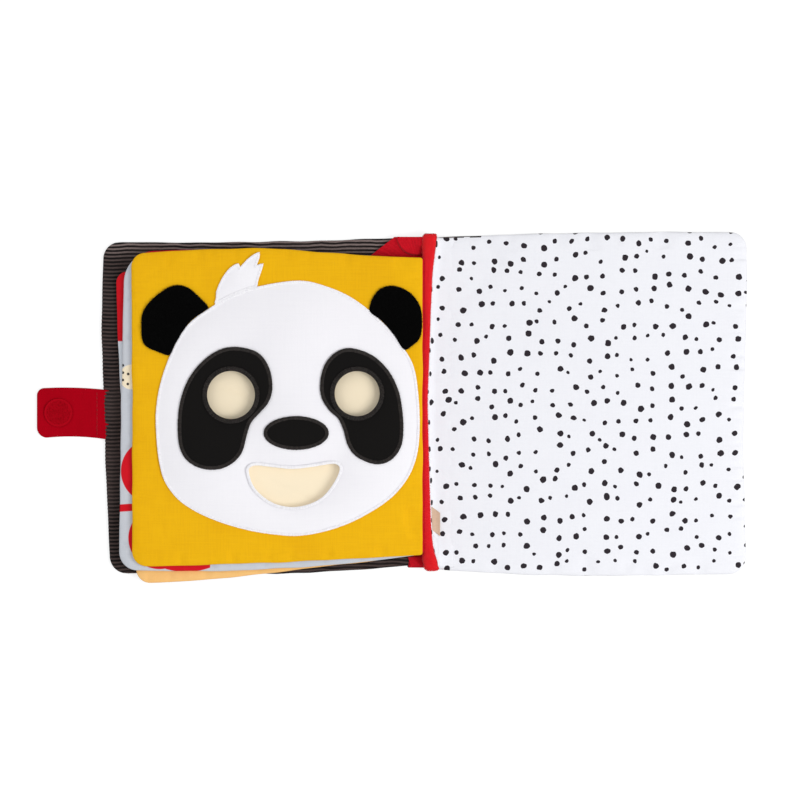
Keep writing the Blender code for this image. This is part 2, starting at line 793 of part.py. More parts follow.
def make_leaves(panels, hinge, materials):
    """Three leaves, each carried by the one under it, and the mask on the top one."""
    cloths = ((materials["peach"], materials["red"]), (materials["print"], materials["print"]),
              (materials["yellow"], materials["white"]))
    bodies = []
    for number, (panel, (front, back)) in enumerate(zip(panels, cloths), start=1):
        leaf = make_leaf(number, panel, front, back, materials)
        pieces = list(leaf.values())
        if number == leaf_count:
            cut_holes([leaf["front"], leaf["back"], leaf["film"], leaf["wadding"]])
            pieces += make_face(materials)
            pieces.append(make_ear("left", left_ear_turn, left_ear_radius, left_ear_stand_share,
                                   materials["plush"]))
            pieces.append(make_ear("right", right_ear_turn, right_ear_radius, right_ear_stand_share,
                                   materials["plush"]))
        body = make_body(f"leaf_{number}_hinge", hinge)
        carry(body, pieces)
        bodies.append(body)
    for carrier, carried in list(zip(bodies, bodies[1:]))[::-1]:
        carry(carrier, [carried])


def build():
    for obj in list(bpy.data.objects):
        bpy.data.objects.remove(obj)
    for collection in (parts, cutters):
        bpy.context.scene.collection.children.link(collection)
    materials = make_materials()
    left, right, leaves = make_panels()
    hinge = Vector((0, 0, axis_height))
    make_spine(materials)
    make_cover("left_cover", left, "left_cover_inner", corduroy_thickness, materials["corduroy"], materials)
    dotted = make_cover("right_cover", right, "right_cover_lining", lining_thickness, materials["dotted"],
                        materials)
    dotted.append(make_wall("spine_wall_right", 1, materials["dotted"]))
    dotted.append(make_loop_disc(dotted[0], left, right, materials))
    dotted += make_labels(materials)
    carry(make_body("right_cover_hinge", hinge), dotted)
    make_leaves(leaves, hinge, materials)
    make_strap(left, right, materials)


build()
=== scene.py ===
# %% [markdown]
# # A crinkle cloth book, open at its mask page
#
# The book is all cloth: two padded corduroy covers, three padded pages with crinkly film inside,
# and a bound spine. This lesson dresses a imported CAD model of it. The CAD pieces fix every size
# and place, and each cell below replaces one of them with soft, sewn-looking cloth.

# %% Load the frame
import math
import random

import bmesh
import bpy
import numpy as np
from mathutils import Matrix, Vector, kdtree


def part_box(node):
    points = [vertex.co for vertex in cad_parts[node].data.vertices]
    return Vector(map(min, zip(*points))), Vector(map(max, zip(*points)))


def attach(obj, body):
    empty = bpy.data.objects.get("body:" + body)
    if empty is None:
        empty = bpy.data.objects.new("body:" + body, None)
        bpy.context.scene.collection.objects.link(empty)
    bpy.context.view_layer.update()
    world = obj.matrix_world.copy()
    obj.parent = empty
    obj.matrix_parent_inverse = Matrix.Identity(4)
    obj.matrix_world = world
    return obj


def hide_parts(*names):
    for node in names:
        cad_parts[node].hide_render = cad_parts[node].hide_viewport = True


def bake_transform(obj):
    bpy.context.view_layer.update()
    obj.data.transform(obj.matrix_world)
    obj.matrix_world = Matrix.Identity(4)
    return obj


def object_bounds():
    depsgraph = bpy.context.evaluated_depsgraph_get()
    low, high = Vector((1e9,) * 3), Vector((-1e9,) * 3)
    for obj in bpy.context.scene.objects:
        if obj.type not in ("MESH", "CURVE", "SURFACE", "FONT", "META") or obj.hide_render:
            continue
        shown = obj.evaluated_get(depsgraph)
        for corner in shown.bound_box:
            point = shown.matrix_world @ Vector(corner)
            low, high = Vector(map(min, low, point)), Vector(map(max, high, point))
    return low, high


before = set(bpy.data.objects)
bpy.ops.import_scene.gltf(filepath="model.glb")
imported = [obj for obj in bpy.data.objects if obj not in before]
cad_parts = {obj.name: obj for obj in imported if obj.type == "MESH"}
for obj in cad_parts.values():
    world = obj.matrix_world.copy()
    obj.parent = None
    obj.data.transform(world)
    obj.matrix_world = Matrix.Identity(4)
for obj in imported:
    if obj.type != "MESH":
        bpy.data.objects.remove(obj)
cad_low, cad_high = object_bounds()
mm = 0.001
print("CAD box in mm:", [round(v / mm, 1) for v in cad_high - cad_low])


def add_object(name, content):
    obj = bpy.data.objects.new(name, content)
    bpy.context.scene.collection.objects.link(obj)
    return obj


def mesh_from(name, bm):
    """Mesh made of a BMesh, which is used up."""
    mesh = bpy.data.meshes.new(name)
    bm.to_mesh(mesh)
    bm.free()
    return mesh


# %% [markdown]
# ## The camera
#
# The photograph looks straight down from well above, so there is hardly any perspective. A long
# lens a few metres up gives the same flat view. One pixel of the 800-pixel frame is 0.6 mm of cloth,
# and the spine lies a little to the right of the middle.

# %% Camera
camera_height = 3.2
view_width = 0.4815
view_centre = Vector((-0.0156, 0.0024, 0.0))
camera_data = bpy.data.cameras.new("overhead_camera")
camera_data.sensor_width = 36.0
camera_data.lens = 36.0 * camera_height / view_width
camera_data.clip_end = 20.0
camera = add_object("overhead_camera", camera_data)
camera.location = view_centre + Vector((0, 0, camera_height))
bpy.context.scene.camera = camera
print("Lens in mm:", round(camera_data.lens))

# %% [markdown]
# ## Light
#
# A big soft lamp high on the right, a weaker one low on the left and a pale world give the even
# studio light of a catalogue picture. The lamps stay gentle, so that white cotton keeps its weave.
# The background is made white for the camera alone, which leaves the light on the cloth as it is.


# %% World and lamps
def shader_tree(owner):
    owner.use_nodes = True
    owner.node_tree.nodes.clear()
    return owner.node_tree


def add_node(tree, kind, inputs=None, **settings):
    """Add a shader node, set its fields, then feed or set its sockets."""
    made = tree.nodes.new(kind)
    for field, value in settings.items():
        setattr(made, field, value)
    for socket, value in (inputs or {}).items():
        if isinstance(value, bpy.types.NodeSocket):
            tree.links.new(value, made.inputs[socket])
        else:
            made.inputs[socket].default_value = value
    return made


def seen_directly(tree):
    """1 for rays from the camera, a mirror or glass, and 0 for the light that falls on cloth."""
    path = add_node(tree, "ShaderNodeLightPath")
    either = add_node(tree, "ShaderNodeMath", {0: path.outputs["Is Camera Ray"],
                                               1: path.outputs["Is Glossy Ray"]}, operation="MAXIMUM")
    return add_node(tree, "ShaderNodeMath", {0: either.outputs[0], 1: path.outputs["Is Transmission Ray"]},
                    operation="MAXIMUM").outputs[0]


world = bpy.data.worlds.new("studio")
bpy.context.scene.world = world
tree = shader_tree(world)
fill_light = add_node(tree, "ShaderNodeBackground", {"Color": (0.97, 0.98, 1.0, 1), "Strength": 0.63})
white_backdrop = add_node(tree, "ShaderNodeBackground", {"Color": (1, 1, 1, 1), "Strength": 1.0})
either = add_node(tree, "ShaderNodeMixShader", {0: seen_directly(tree), 1: fill_light.outputs[0],
                                                2: white_backdrop.outputs[0]})
add_node(tree, "ShaderNodeOutputWorld", {0: either.outputs[0]})


def soft_lamp(name, place, power, size):
    lamp = bpy.data.lights.new(name, "AREA")
    lamp.shape = "SQUARE"
    lamp.size = size
    lamp.energy = power
    obj = add_object(name, lamp)
    obj.location = place
    obj.rotation_euler = (view_centre - Vector(place)).to_track_quat("-Z", "Y").to_euler()


soft_lamp("key_lamp", (0.95, -0.32, 1.1), 11.0, 0.8)
soft_lamp("side_lamp", (-1.0, 0.2, 0.8), 1.7, 0.8)
bpy.context.scene.view_settings.view_transform = "Standard"
print("Lamps:", [lamp.name for lamp in bpy.data.lights])

# %% [markdown]
# ## The table
#
# The table is plain and pale. It still catches the book's soft shadow, and a share of plain white,
# seen by the camera only, lifts the rest of it to the white of the picture.

# %% Table
bpy.ops.mesh.primitive_plane_add(size=6)
table = bpy.context.active_object
table.name = "table"
table.location.z = cad_low.z - 0.0002
table_finish = bpy.data.materials.new("pale_table")
tree = shader_tree(table_finish)
paint = add_node(tree, "ShaderNodeBsdfDiffuse", {"Color": (0.42, 0.42, 0.42, 1)})
glow = add_node(tree, "ShaderNodeEmission", {"Color": (1, 1, 1, 1), "Strength": 0.72})
glow_seen = add_node(tree, "ShaderNodeMixShader", {0: seen_directly(tree), 2: glow.outputs[0]})
both = add_node(tree, "ShaderNodeAddShader", {0: paint.outputs[0], 1: glow_seen.outputs[0]})
add_node(tree, "ShaderNodeOutputMaterial", {0: both.outputs[0]})
table.data.materials.append(table_finish)
print("Table top in mm:", round(table.location.z / mm, 2))

# %% [markdown]
# ## Cloth finishes
#
# Every finish starts from a screen colour read off the photograph. On top come three things
# that real cotton has: a weave of threads that go over and under, thicker threads here and there,
# and a faint unevenness of the dye. The weave is in the bump, where it catches the light.


# %% Shader helpers
def screen_colour(red, green, blue):
    """Linear colour of an 8-bit screen colour."""
    def linear(level):
        value = level / 255
        return value / 12.92 if value <= 0.04045 else ((value + 0.055) / 1.055) ** 2.4
    return (linear(red), linear(green), linear(blue), 1.0)


def new_finish(name, roughness, sheen=0.0, specular=0.16):
    finish = bpy.data.materials.new(name)
    tree = shader_tree(finish)
    surface = add_node(tree, "ShaderNodeBsdfPrincipled", {"Roughness": roughness, "Sheen Weight": sheen,
                                                          "Sheen Roughness": 0.4,
                                                          "Specular IOR Level": specular})
    add_node(tree, "ShaderNodeOutputMaterial", {0: surface.outputs[0]})
    place = add_node(tree, "ShaderNodeTexCoord").outputs["Object"]
    return finish, tree, surface, place


def calc(tree, operation, first, second=0.0):
    return add_node(tree, "ShaderNodeMath", {0: first, 1: second}, operation=operation).outputs[0]


def vector_calc(tree, operation, inputs):
    return add_node(tree, "ShaderNodeVectorMath", inputs, operation=operation).outputs[0]


def mix_colour(tree, share, first, second):
    return add_node(tree, "ShaderNodeMix", {0: share, 6: first, 7: second}, data_type="RGBA").outputs[2]


def noise(tree, place, size, detail=2.0, stretch=(1, 1, 1)):
    """Soft noise whose blotches are about as wide as size, in metres."""
    scaled = add_node(tree, "ShaderNodeMapping", {"Vector": place, "Scale": stretch}).outputs[0]
    return add_node(tree, "ShaderNodeTexNoise", {"Vector": scaled, "Scale": 1 / size,
                                                 "Detail": detail}).outputs["Fac"]


def threads(tree, place, pitch, direction):
    """Rounded threads side by side, a pitch apart."""
    turns = math.tau / (20 * pitch)
    return add_node(tree, "ShaderNodeTexWave", {"Vector": place, "Scale": turns},
                    wave_type="BANDS", bands_direction=direction).outputs["Fac"]


def step_between(tree, value, low, high):
    """0 below low, 1 above high and a smooth step between them."""
    made = add_node(tree, "ShaderNodeMapRange", {"Value": value, "From Min": low, "From Max": high},
                    interpolation_type="SMOOTHSTEP")
    return made.outputs[0]


def bump(tree, surface, height, depth, strength=1.0):
    made = add_node(tree, "ShaderNodeBump", {"Height": height, "Distance": depth, "Strength": strength})
    tree.links.new(made.outputs[0], surface.inputs["Normal"])


# %% [markdown]
# Plain woven cotton serves the yellow page, the white page backs, the red linings and the strap.
# Crossing threads are two sets of bands multiplied together, and slubs are noise pulled out
# lengthways.


# %% Woven cotton
thread_pitch = 0.00042


def slubs(tree, place, pitch):
    across = noise(tree, place, pitch * 1.6, 1.0, (0.04, 1, 1))
    along = noise(tree, place, pitch * 1.6, 1.0, (1, 0.04, 1))
    return calc(tree, "MULTIPLY", calc(tree, "ADD", across, along), 0.5)


def weave_height(tree, place, pitch):
    over_under = calc(tree, "MULTIPLY", threads(tree, place, pitch, "X"), threads(tree, place, pitch, "Y"))
    return calc(tree, "ADD", over_under, slubs(tree, place, pitch))


def dye(tree, place, pitch, main, deep, unevenness=0.35):
    """Cloth colour: deeper in soft patches and along slubs."""
    patches = step_between(tree, noise(tree, place, 0.03), 0.35, 0.75)
    lines = step_between(tree, slubs(tree, place, pitch), 0.42, 0.62)
    both = calc(tree, "ADD", calc(tree, "MULTIPLY", patches, 0.5), calc(tree, "MULTIPLY", lines, 0.5))
    return mix_colour(tree, calc(tree, "MULTIPLY", both, unevenness), main, deep)


def woven_cotton(name, main, deep, pitch=thread_pitch, roughness=0.85, sheen=0.03, unevenness=0.35,
                 specular=0.16):
    finish, tree, surface, place = new_finish(name, roughness, sheen, specular)
    tree.links.new(dye(tree, place, pitch, main, deep, unevenness), surface.inputs["Base Color"])
    bump(tree, surface, weave_height(tree, place, pitch), 0.00012, 0.7)
    return finish


yellow_cotton = woven_cotton("yellow_cotton", screen_colour(247, 188, 8), screen_colour(224, 158, 0))
white_cotton = woven_cotton("white_cotton", screen_colour(243, 242, 246), screen_colour(226, 226, 232))
red_lining = woven_cotton("red_lining", screen_colour(208, 10, 32), screen_colour(166, 2, 18), sheen=0.12)
strap_red = woven_cotton("strap_red", screen_colour(176, 0, 22), screen_colour(150, 0, 14), 0.0005,
                         sheen=0.0, specular=0.04)
red_page = woven_cotton("red_page", screen_colour(212, 18, 32), screen_colour(182, 8, 20))
face_white = woven_cotton("face_white", screen_colour(250, 248, 251), screen_colour(237, 235, 240), 0.0006,
                          0.95, 0.1, 0.2)
patch_black = woven_cotton("patch_black", screen_colour(9, 7, 6), screen_colour(4, 3, 3), 0.0005, 0.9, 0.0)
label_beige = woven_cotton("label_beige", screen_colour(222, 190, 164), screen_colour(198, 164, 136),
                           0.0003, 0.6, 0.0, 0.5)
print("Plain cottons made:", len(bpy.data.materials) - 1)

# %% [markdown]
# ## Corduroy
#
# Corduroy is cotton velvet in ribs. The ribs are in the mesh, so they show along the edges of the
# covers. The mesh carries the running count of ribs in an attribute, and the finish reads it: pale
# pile, rubbed by wear, on each crest, and painted shade that makes each groove nearly black. Along
# the head of the book the crests are painted paler, a painted highlight.

# %% Corduroy finish
rib_pitch = 0.00227
corduroy, tree, surface, place = new_finish("charcoal_corduroy", 1.0, 0.3)
rib_count = add_node(tree, "ShaderNodeAttribute", attribute_name="rib").outputs["Fac"]
crest = calc(tree, "COSINE", calc(tree, "MULTIPLY", rib_count, math.tau))
tuft_noise = noise(tree, place, 0.0009, 3.0, (0.35, 1, 1))
# Painted shade: the grooves between the ribs are painted nearly black; the pale crests are wear.
wear_and_groove_shade = calc(tree, "ADD", crest, calc(tree, "MULTIPLY", tuft_noise, 0.9))
height = add_node(tree, "ShaderNodeSeparateXYZ", {0: place}).outputs["Y"]
# Painted highlight: the crests are painted paler towards the head of the book.
painted_head_highlight = step_between(tree, height, 0.084, 0.096)
crest_with_head_highlight = mix_colour(tree, painted_head_highlight, screen_colour(76, 63, 60), screen_colour(136, 120, 116))
pile = mix_colour(tree, step_between(tree, wear_and_groove_shade, -0.1, 1.4), screen_colour(15, 11, 11), crest_with_head_highlight)
bloom = step_between(tree, noise(tree, place, 0.02), 0.3, 0.8)
tree.links.new(mix_colour(tree, calc(tree, "MULTIPLY", bloom, 0.25), pile, screen_colour(90, 77, 74)),
               surface.inputs["Base Color"])
bump(tree, surface, noise(tree, place, 0.0004, 3.0), 0.0003, 0.8)

# %% [markdown]
# ## Dotted cotton
#
# The lining has a common scatter of ink dots. A Voronoi pattern gives each cell one point, which
# keeps the dots apart, and a slow noise bends its rows out of line. The cell's random colour sets the
# size of its dot, and a little fine noise makes each dot slightly lumpy, as ink soaks in. It reads
# the cloth's own UV map, in metres, so that the dots run on into the gutter.

# %% Dotted finish
dot_pitch = 0.0097
dotted_cotton, tree, surface, place = new_finish("dotted_cotton", 0.85, 0.03)
cut = add_node(tree, "ShaderNodeUVMap", uv_map="cut").outputs[0]
wander = add_node(tree, "ShaderNodeTexNoise", {"Vector": cut, "Scale": 420.0, "Detail": 1.0})
shift = vector_calc(tree, "SUBTRACT", {0: wander.outputs["Color"], 1: (0.5, 0.5, 0.5)})
small = vector_calc(tree, "SCALE", {0: shift, "Scale": 0.0011})
lumpy = vector_calc(tree, "ADD", {0: cut, 1: small})
stray = add_node(tree, "ShaderNodeTexNoise", {"Vector": cut, "Scale": 24.0, "Detail": 0.0})
sway = vector_calc(tree, "SCALE", {0: stray.outputs["Color"], "Scale": 0.0055})
strewn = vector_calc(tree, "ADD", {0: lumpy, 1: sway})
cells = add_node(tree, "ShaderNodeTexVoronoi", {"Vector": strewn, "Scale": 1 / dot_pitch,
                                                "Randomness": 0.64}, voronoi_dimensions="2D")
lot = add_node(tree, "ShaderNodeSeparateColor", {"Color": cells.outputs["Color"]}).outputs[0]
radius = calc(tree, "ADD", calc(tree, "MULTIPLY", lot, 0.090), 0.112)
depth_in = calc(tree, "SUBTRACT", radius, cells.outputs["Distance"])
ink = step_between(tree, depth_in, -0.006, 0.006)
ground = dye(tree, place, thread_pitch, screen_colour(243, 243, 247), screen_colour(228, 228, 235), 0.2)
tree.links.new(mix_colour(tree, ink, ground, screen_colour(44, 38, 43)), surface.inputs["Base Color"])
bump(tree, surface, weave_height(tree, place, thread_pitch), 0.0001, 0.6)

# %% [markdown]
# ## Printed pages
#
# Only slivers of the two lower pages show, with a patch of cream through the peep holes. Their
# prints are plain shapes: discs, a bar and a cream round. Each is a distance test on the object's
# coordinates, which are metres from the foot of the spine.


# %% Page prints
page_ink, tree, surface, place = new_finish("printed_page", 0.85, 0.03)
flat_place = vector_calc(tree, "MULTIPLY", {0: place, 1: (1, 1, 0)})
axes = add_node(tree, "ShaderNodeSeparateXYZ", {0: place})


def disc_print(centre, radius):
    """1 inside a printed disc and 0 outside it."""
    reach = add_node(tree, "ShaderNodeVectorMath", {0: flat_place, 1: (*centre, 0)}, operation="DISTANCE")
    return step_between(tree, reach.outputs["Value"], radius + 0.0002, radius - 0.0002)


def bar_print(axis, low, high):
    above = step_between(tree, axes.outputs[axis], low - 0.0002, low + 0.0002)
    return calc(tree, "MULTIPLY", above, step_between(tree, axes.outputs[axis], high + 0.0002, high - 0.0002))


def either_print(first, second):
    return calc(tree, "MAXIMUM", first, second)


cream = either_print(disc_print((-0.079, -0.013), 0.066), disc_print((-0.1765, 0.0162), 0.0075))
speck = disc_print((-0.1819, 0.0232), 0.0008)
for spot in ((-0.1787, 0.0180), (-0.1819, 0.0144), (-0.1789, 0.0120), (-0.1819, 0.0188)):
    speck = either_print(speck, disc_print(spot, 0.0008))
tilt = calc(tree, "MULTIPLY", calc(tree, "ADD", axes.outputs["X"], 0.184), -0.07)
slanted = calc(tree, "ADD", axes.outputs["Y"], tilt)
bar = calc(tree, "MULTIPLY", step_between(tree, slanted, -0.0649, -0.0645),
           step_between(tree, slanted, -0.0601, -0.0605))
red_print = either_print(disc_print((-0.1637, -0.0402), 0.0194), disc_print((-0.1599, -0.0804), 0.0187))
red_print = either_print(red_print, calc(tree, "MULTIPLY", bar, bar_print("X", -0.19, -0.12)))
red_print = either_print(red_print, calc(tree, "MULTIPLY", bar_print("Y", 0.0895, 0.11),
                                         bar_print("X", -0.173, -0.098)))
red_print = either_print(red_print, calc(tree, "MULTIPLY", disc_print((-0.144, -0.060), 0.0408),
                                         calc(tree, "MULTIPLY", bar_print("X", -0.160, -0.1295),
                                              bar_print("Y", -0.12, -0.09))))
# Painted shade: this page's white cloth gets a shaded blue-grey ground, for the shade it lies in under the yellow
# page.
ground = dye(tree, place, thread_pitch, screen_colour(208, 211, 217), screen_colour(190, 195, 202))
page = mix_colour(tree, cream, ground, screen_colour(255, 239, 208))
page = mix_colour(tree, red_print, page, screen_colour(216, 18, 34))
tree.links.new(mix_colour(tree, speck, page, screen_colour(40, 34, 34)), surface.inputs["Base Color"])
bump(tree, surface, weave_height(tree, place, thread_pitch), 0.0001, 0.6)

two_tone, tree, surface, place = new_finish("two_tone_page", 0.85, 0.03)
axes = add_node(tree, "ShaderNodeSeparateXYZ", {0: place})
head_red = step_between(tree, axes.outputs["Y"], 0.0373, 0.0381)
peach = dye(tree, place, thread_pitch, screen_colour(255, 202, 128), screen_colour(250, 184, 104))
# Painted shade: between the peach and the red head, the page's white cloth is painted a shaded blue-grey.
painted_shade_band = step_between(tree, axes.outputs["Y"], -0.0015, -0.0005)
lower = mix_colour(tree, painted_shade_band, peach, screen_colour(220, 225, 232))
tree.links.new(mix_colour(tree, head_red, lower, screen_colour(212, 18, 32)), surface.inputs["Base Color"])
bump(tree, surface, weave_height(tree, place, thread_pitch), 0.0001, 0.6)
print("Finishes so far:", len(bpy.data.materials))

# %% [markdown]
# ## The shape of a sewn panel
#
# Seen from above, each cover and page is a four-cornered panel with rounded corners and slightly
# bowed sides. An even grid over it suits cloth best, because folds and ribs can then run anywhere.
# A Coons patch gives that grid: straight lines between the corners, plus a correction along each
# side that fades inwards, so that the rim lies exactly on the sewn outline.


# %% Panel outline and grid
def unit(vector):
    return vector / np.linalg.norm(vector)


class Waves:
    """Smooth random wave along a line, the same at every run."""

    def __init__(self, seed, lengths):
        lot = random.Random(seed)
        self.parts = [(math.tau / length, lot.uniform(0, math.tau), lot.uniform(0.6, 1.0))
                      for length in lengths]
        self.most = sum(weight for _, _, weight in self.parts)

    def __call__(self, along):
        return sum(weight * np.sin(rate * along + start) for rate, start, weight in self.parts) / self.most


class Panel:
    """One sewn panel: corners in order from the spine's head, round by the fore edge, to its foot.

    A side's bow is one size, or a pair: the size near its first corner and the size further on.
    """

    def __init__(self, corners, radii, bows):
        self.corners = [np.array(corner, float) for corner in corners]
        self.radii = radii
        self.bows = bows
        self.ripple = lambda run: 0.0

    def outward(self, side):
        along = self.corners[(side + 1) % 4] - self.corners[side]
        normal = unit(np.array((along[1], -along[0])))
        middle = sum(self.corners) / 4
        return normal if (self.corners[side] - middle) @ normal > 0 else -normal

    def corner_legs(self, number):
        """Directions from a corner along its two sides, and half the angle between them."""
        legs = [unit(self.corners[(number + step) % 4] - self.corners[number]) for step in (-1, 1)]
        return legs, math.acos(float(np.clip(legs[0] @ legs[1], -1, 1))) / 2

    def corner_arc(self, number, towards, share):
        """Point on a rounded corner, from its middle (share 0) to where it meets a side (share 1)."""
        corner, radius = self.corners[number], self.radii[number]
        legs, half = self.corner_legs(number)
        centre = corner + unit(legs[0] + legs[1]) * radius / math.sin(half)
        start = unit(corner - centre)
        finish = unit(corner + towards * radius / math.tan(half) - centre)
        sweep = math.pi / 2 - half
        aim = (math.sin((1 - share) * sweep) * start + math.sin(share * sweep) * finish) / math.sin(sweep)
        return centre + aim * radius

    def round_off(self, number):
        """Length of a side that its rounded corner takes up."""
        return self.radii[number] / math.tan(self.corner_legs(number)[1])

    def side_point(self, side, share):
        first, last = side, (side + 1) % 4
        start, finish = self.corners[first], self.corners[last]
        length, along = np.linalg.norm(finish - start), unit(finish - start)
        here = share * length
        if here < self.round_off(first):
            return self.corner_arc(first, along, here / self.round_off(first))
        if length - here < self.round_off(last):
            return self.corner_arc(last, -along, (length - here) / self.round_off(last))
        inner = (here - self.round_off(first)) / (length - self.round_off(first) - self.round_off(last))
        near, far = np.ones(2) * self.bows[side]
        turn = min(1.0, 1.6 * inner)
        bow = near + (far - near) * turn * turn * (3 - 2 * turn) + self.ripple(here + 0.11 * side)
        bow *= 4 * inner * (1 - inner)
        return start + along * here + self.outward(side) * bow

    def outline(self, steps=600):
        return np.array([self.side_point(side, step / steps) for side in range(4) for step in range(steps)])

    def grid(self, across, up):
        """Points of the grid, in rows from foot to head. Across runs from spine to fore edge."""
        head_in, head_out, foot_out, foot_in = self.corners
        u, v = np.meshgrid(across, up)
        flat = lambda s, t: ((1 - s) * (1 - t))[..., None] * foot_in + (s * (1 - t))[..., None] * foot_out \
            + (s * t)[..., None] * head_out + ((1 - s) * t)[..., None] * head_in
        fade = lambda away: (1 - away) ** 7
        head = np.array([self.side_point(0, s) for s in across]) - flat(across, np.ones_like(across))
        outer = np.array([self.side_point(1, 1 - t) for t in up]) - flat(np.ones_like(up), up)
        foot = np.array([self.side_point(2, 1 - s) for s in across]) - flat(across, np.zeros_like(across))
        inner = np.array([self.side_point(3, t) for t in up]) - flat(np.zeros_like(up), up)
        bend = fade(1 - v)[..., None] * head[None] + fade(v)[..., None] * foot[None]
        bend += fade(1 - u)[..., None] * outer[:, None] + fade(u)[..., None] * inner[:, None]
        for share_u, share_v, shift in ((u, 1 - v, head[0]), (1 - u, 1 - v, head[-1]),
                                        (1 - u, v, foot[-1]), (u, v, foot[0])):
            bend -= (fade(share_u) * fade(share_v))[..., None] * shift
        return flat(u, v) + bend


def grid_quads(rows, columns):
    """Corners of each four-sided face of a grid, by number."""
    corner = (np.arange(rows - 1)[:, None] * columns + np.arange(columns - 1)).ravel()
    return np.column_stack((corner, corner + 1, corner + 1 + columns, corner + columns))


def stations(length, step, fine=(0.0, 0.0002, 0.0006, 0.0011, 0.0018, 0.0027, 0.0038, 0.0052, 0.007)):
    """Shares of a length, close together near both ends, where a padded edge curves most."""
    even = np.linspace(fine[-1], length - fine[-1], max(2, round((length - 2 * fine[-1]) / step) + 1))
    return np.concatenate((fine[:-1], even, length - np.array(fine[:-1])[::-1])) / length


def panel_of(side, root, widths, heads, feet, radii, bows):
    """Panel from its widths and heights at the corners, its two outer radii and its three free sides' bows."""
    corners = ((side * root, heads[0]), (side * widths[0], heads[1]),
               (side * widths[1], -feet[1]), (side * root, -feet[0]))
    return Panel(corners, (0.0015, *radii, 0.0015), (*bows, 0))


left_panel = panel_of(-1, 0.006, (0.1943, 0.1900), (0.1003, 0.0972), (0.0968, 0.1023), (0.0100, 0.0105),
                      (-0.0012, (0.0030, 0.0014), (-0.0002, 0.0030)))
right_panel = panel_of(1, 0.006, (0.1929, 0.1925), (0.1003, 0.1034), (0.0996, 0.1026), (0.0095, 0.0110),
                       (0.0011, (0.0006, -0.0018), (0.0012, 0.0024)))
page_panels = [
    panel_of(-1, 0.003, (0.1866, 0.1735), (0.0845, 0.0795), (0.0905, 0.1084), (0.0070, 0.0085),
             (0.0015, 0.0020, (0.0028, 0.0012))),
    panel_of(-1, 0.003, (0.1810, 0.1843), (0.0875, 0.0924), (0.0905, 0.1005), (0.0190, 0.0110),
             ((-0.0002, 0.0028), 0.0003, 0.0036)),
    panel_of(-1, 0.0021, (0.1768, 0.1762), (0.0878, 0.0908), (0.0905, 0.0978), (0.0085, 0.0090),
             ((0.0003, 0.0040), -0.0003, 0.0008)),
]
for number, panel in enumerate((left_panel, right_panel, *page_panels)):
    wave = Waves(70 + number, (0.071, 0.043, 0.026))
    panel.ripple = lambda run, wave=wave: 0.00035 * float(wave(run))
slow_wave = left_panel.ripple
left_panel.ripple = lambda run: slow_wave(run) + 0.00012 * math.cos(math.tau * (run - 0.0001) / rib_pitch)
print("Cover width by height in mm:", np.ptp(left_panel.outline(), axis=0).round(4) / mm)

# %% [markdown]
# ## Padding, puckers and creases
#
# A padded panel is two cloths sewn together round the rim, turned right side out and stuffed. So its
# sides round off into a seam half way up, and the seam gathers the cloth into small puckers. The
# heights come from each point's distance to the outline, and the puckers from smooth random waves
# along it. Puckers only ever press inwards, which keeps each page clear of the next.


# %% Pad maker
def rim_facts(panel, points):
    """How far each point is from the outline, how far round it, and the way inwards."""
    outline = panel.outline()
    lengths = np.linalg.norm(np.roll(outline, -1, axis=0) - outline, axis=1)
    run = np.concatenate(([0], np.cumsum(lengths)[:-1]))
    tree = kdtree.KDTree(len(outline))
    for number, (x, y) in enumerate(outline):
        tree.insert((x, y, 0), number)
    tree.balance()
    found = [tree.find((x, y, 0)) for x, y in points]
    near = np.array([index for _, index, _ in found])
    away = np.array([distance for _, _, distance in found])
    inward = points - outline[near]
    reach = np.maximum(np.linalg.norm(inward, axis=1, keepdims=True), 1e-5)
    return away, run[near], inward / reach


def rounded_side(away, rise):
    return np.sqrt(np.clip(1 - (1 - np.clip(away / rise, 0, 1)) ** 2, 0, 1))


def crease(points, start, finish, width):
    """A shallow fold along a short line: 1 on the line and fading out to the sides and ends."""
    start, finish = np.array(start), np.array(finish)
    along = finish - start
    share = ((points - start) @ along) / (along @ along)
    aside = np.abs((points - start) @ unit(np.array((-along[1], along[0]))))
    return np.exp(-(aside / width) ** 2) * np.clip(1 - (2 * share - 1) ** 4, 0, 1) * ((share > 0) & (share < 1))


def rib_profile(count):
    """Cross-section of corduroy: a round rib with a narrow groove beside it."""
    return np.sqrt(0.5 + 0.5 * np.cos(math.tau * count))


def shape_side(panel, grid, height, rise, seed, pucker, ribs, creases):
    """Heights over one side of a pad, and the ribs counted up it."""
    points = grid.reshape(-1, 2)
    away, run, inward = rim_facts(panel, points)
    gather = np.clip(Waves(seed, (0.031, 0.017, 0.0112, 0.0074))(run) * 1.8, 0, 1) ** 1.5
    dent = pucker * gather * np.exp(-((away - 0.0035) / 0.0045) ** 2)
    lift = height * rounded_side(away, rise)
    swell = Waves(seed + 1, (0.09, 0.057))(points[:, 0] + 0.4 * points[:, 1])
    swell = swell * Waves(seed + 2, (0.083, 0.049))(points[:, 1] - 0.3 * points[:, 0])
    dent += pucker * 0.35 * np.clip(swell, 0, 1) * (away > 0.001)
    for start, finish, width, depth in creases:
        dent += depth * crease(points, start, finish, width)
    wobble = 0.0005 * np.sin(points[:, 0] / 0.021)
    wobble += 0.00045 * np.exp(-away / 0.007) * Waves(seed + 3, (0.0145, 0.0223))(points[:, 0])
    count = (points[:, 1] + wobble) / rib_pitch
    if ribs:
        dent += ribs * (1 - rib_profile(count)) * np.clip(away / 0.001, 0.4, 1)
    return np.maximum(lift - dent, 0), count


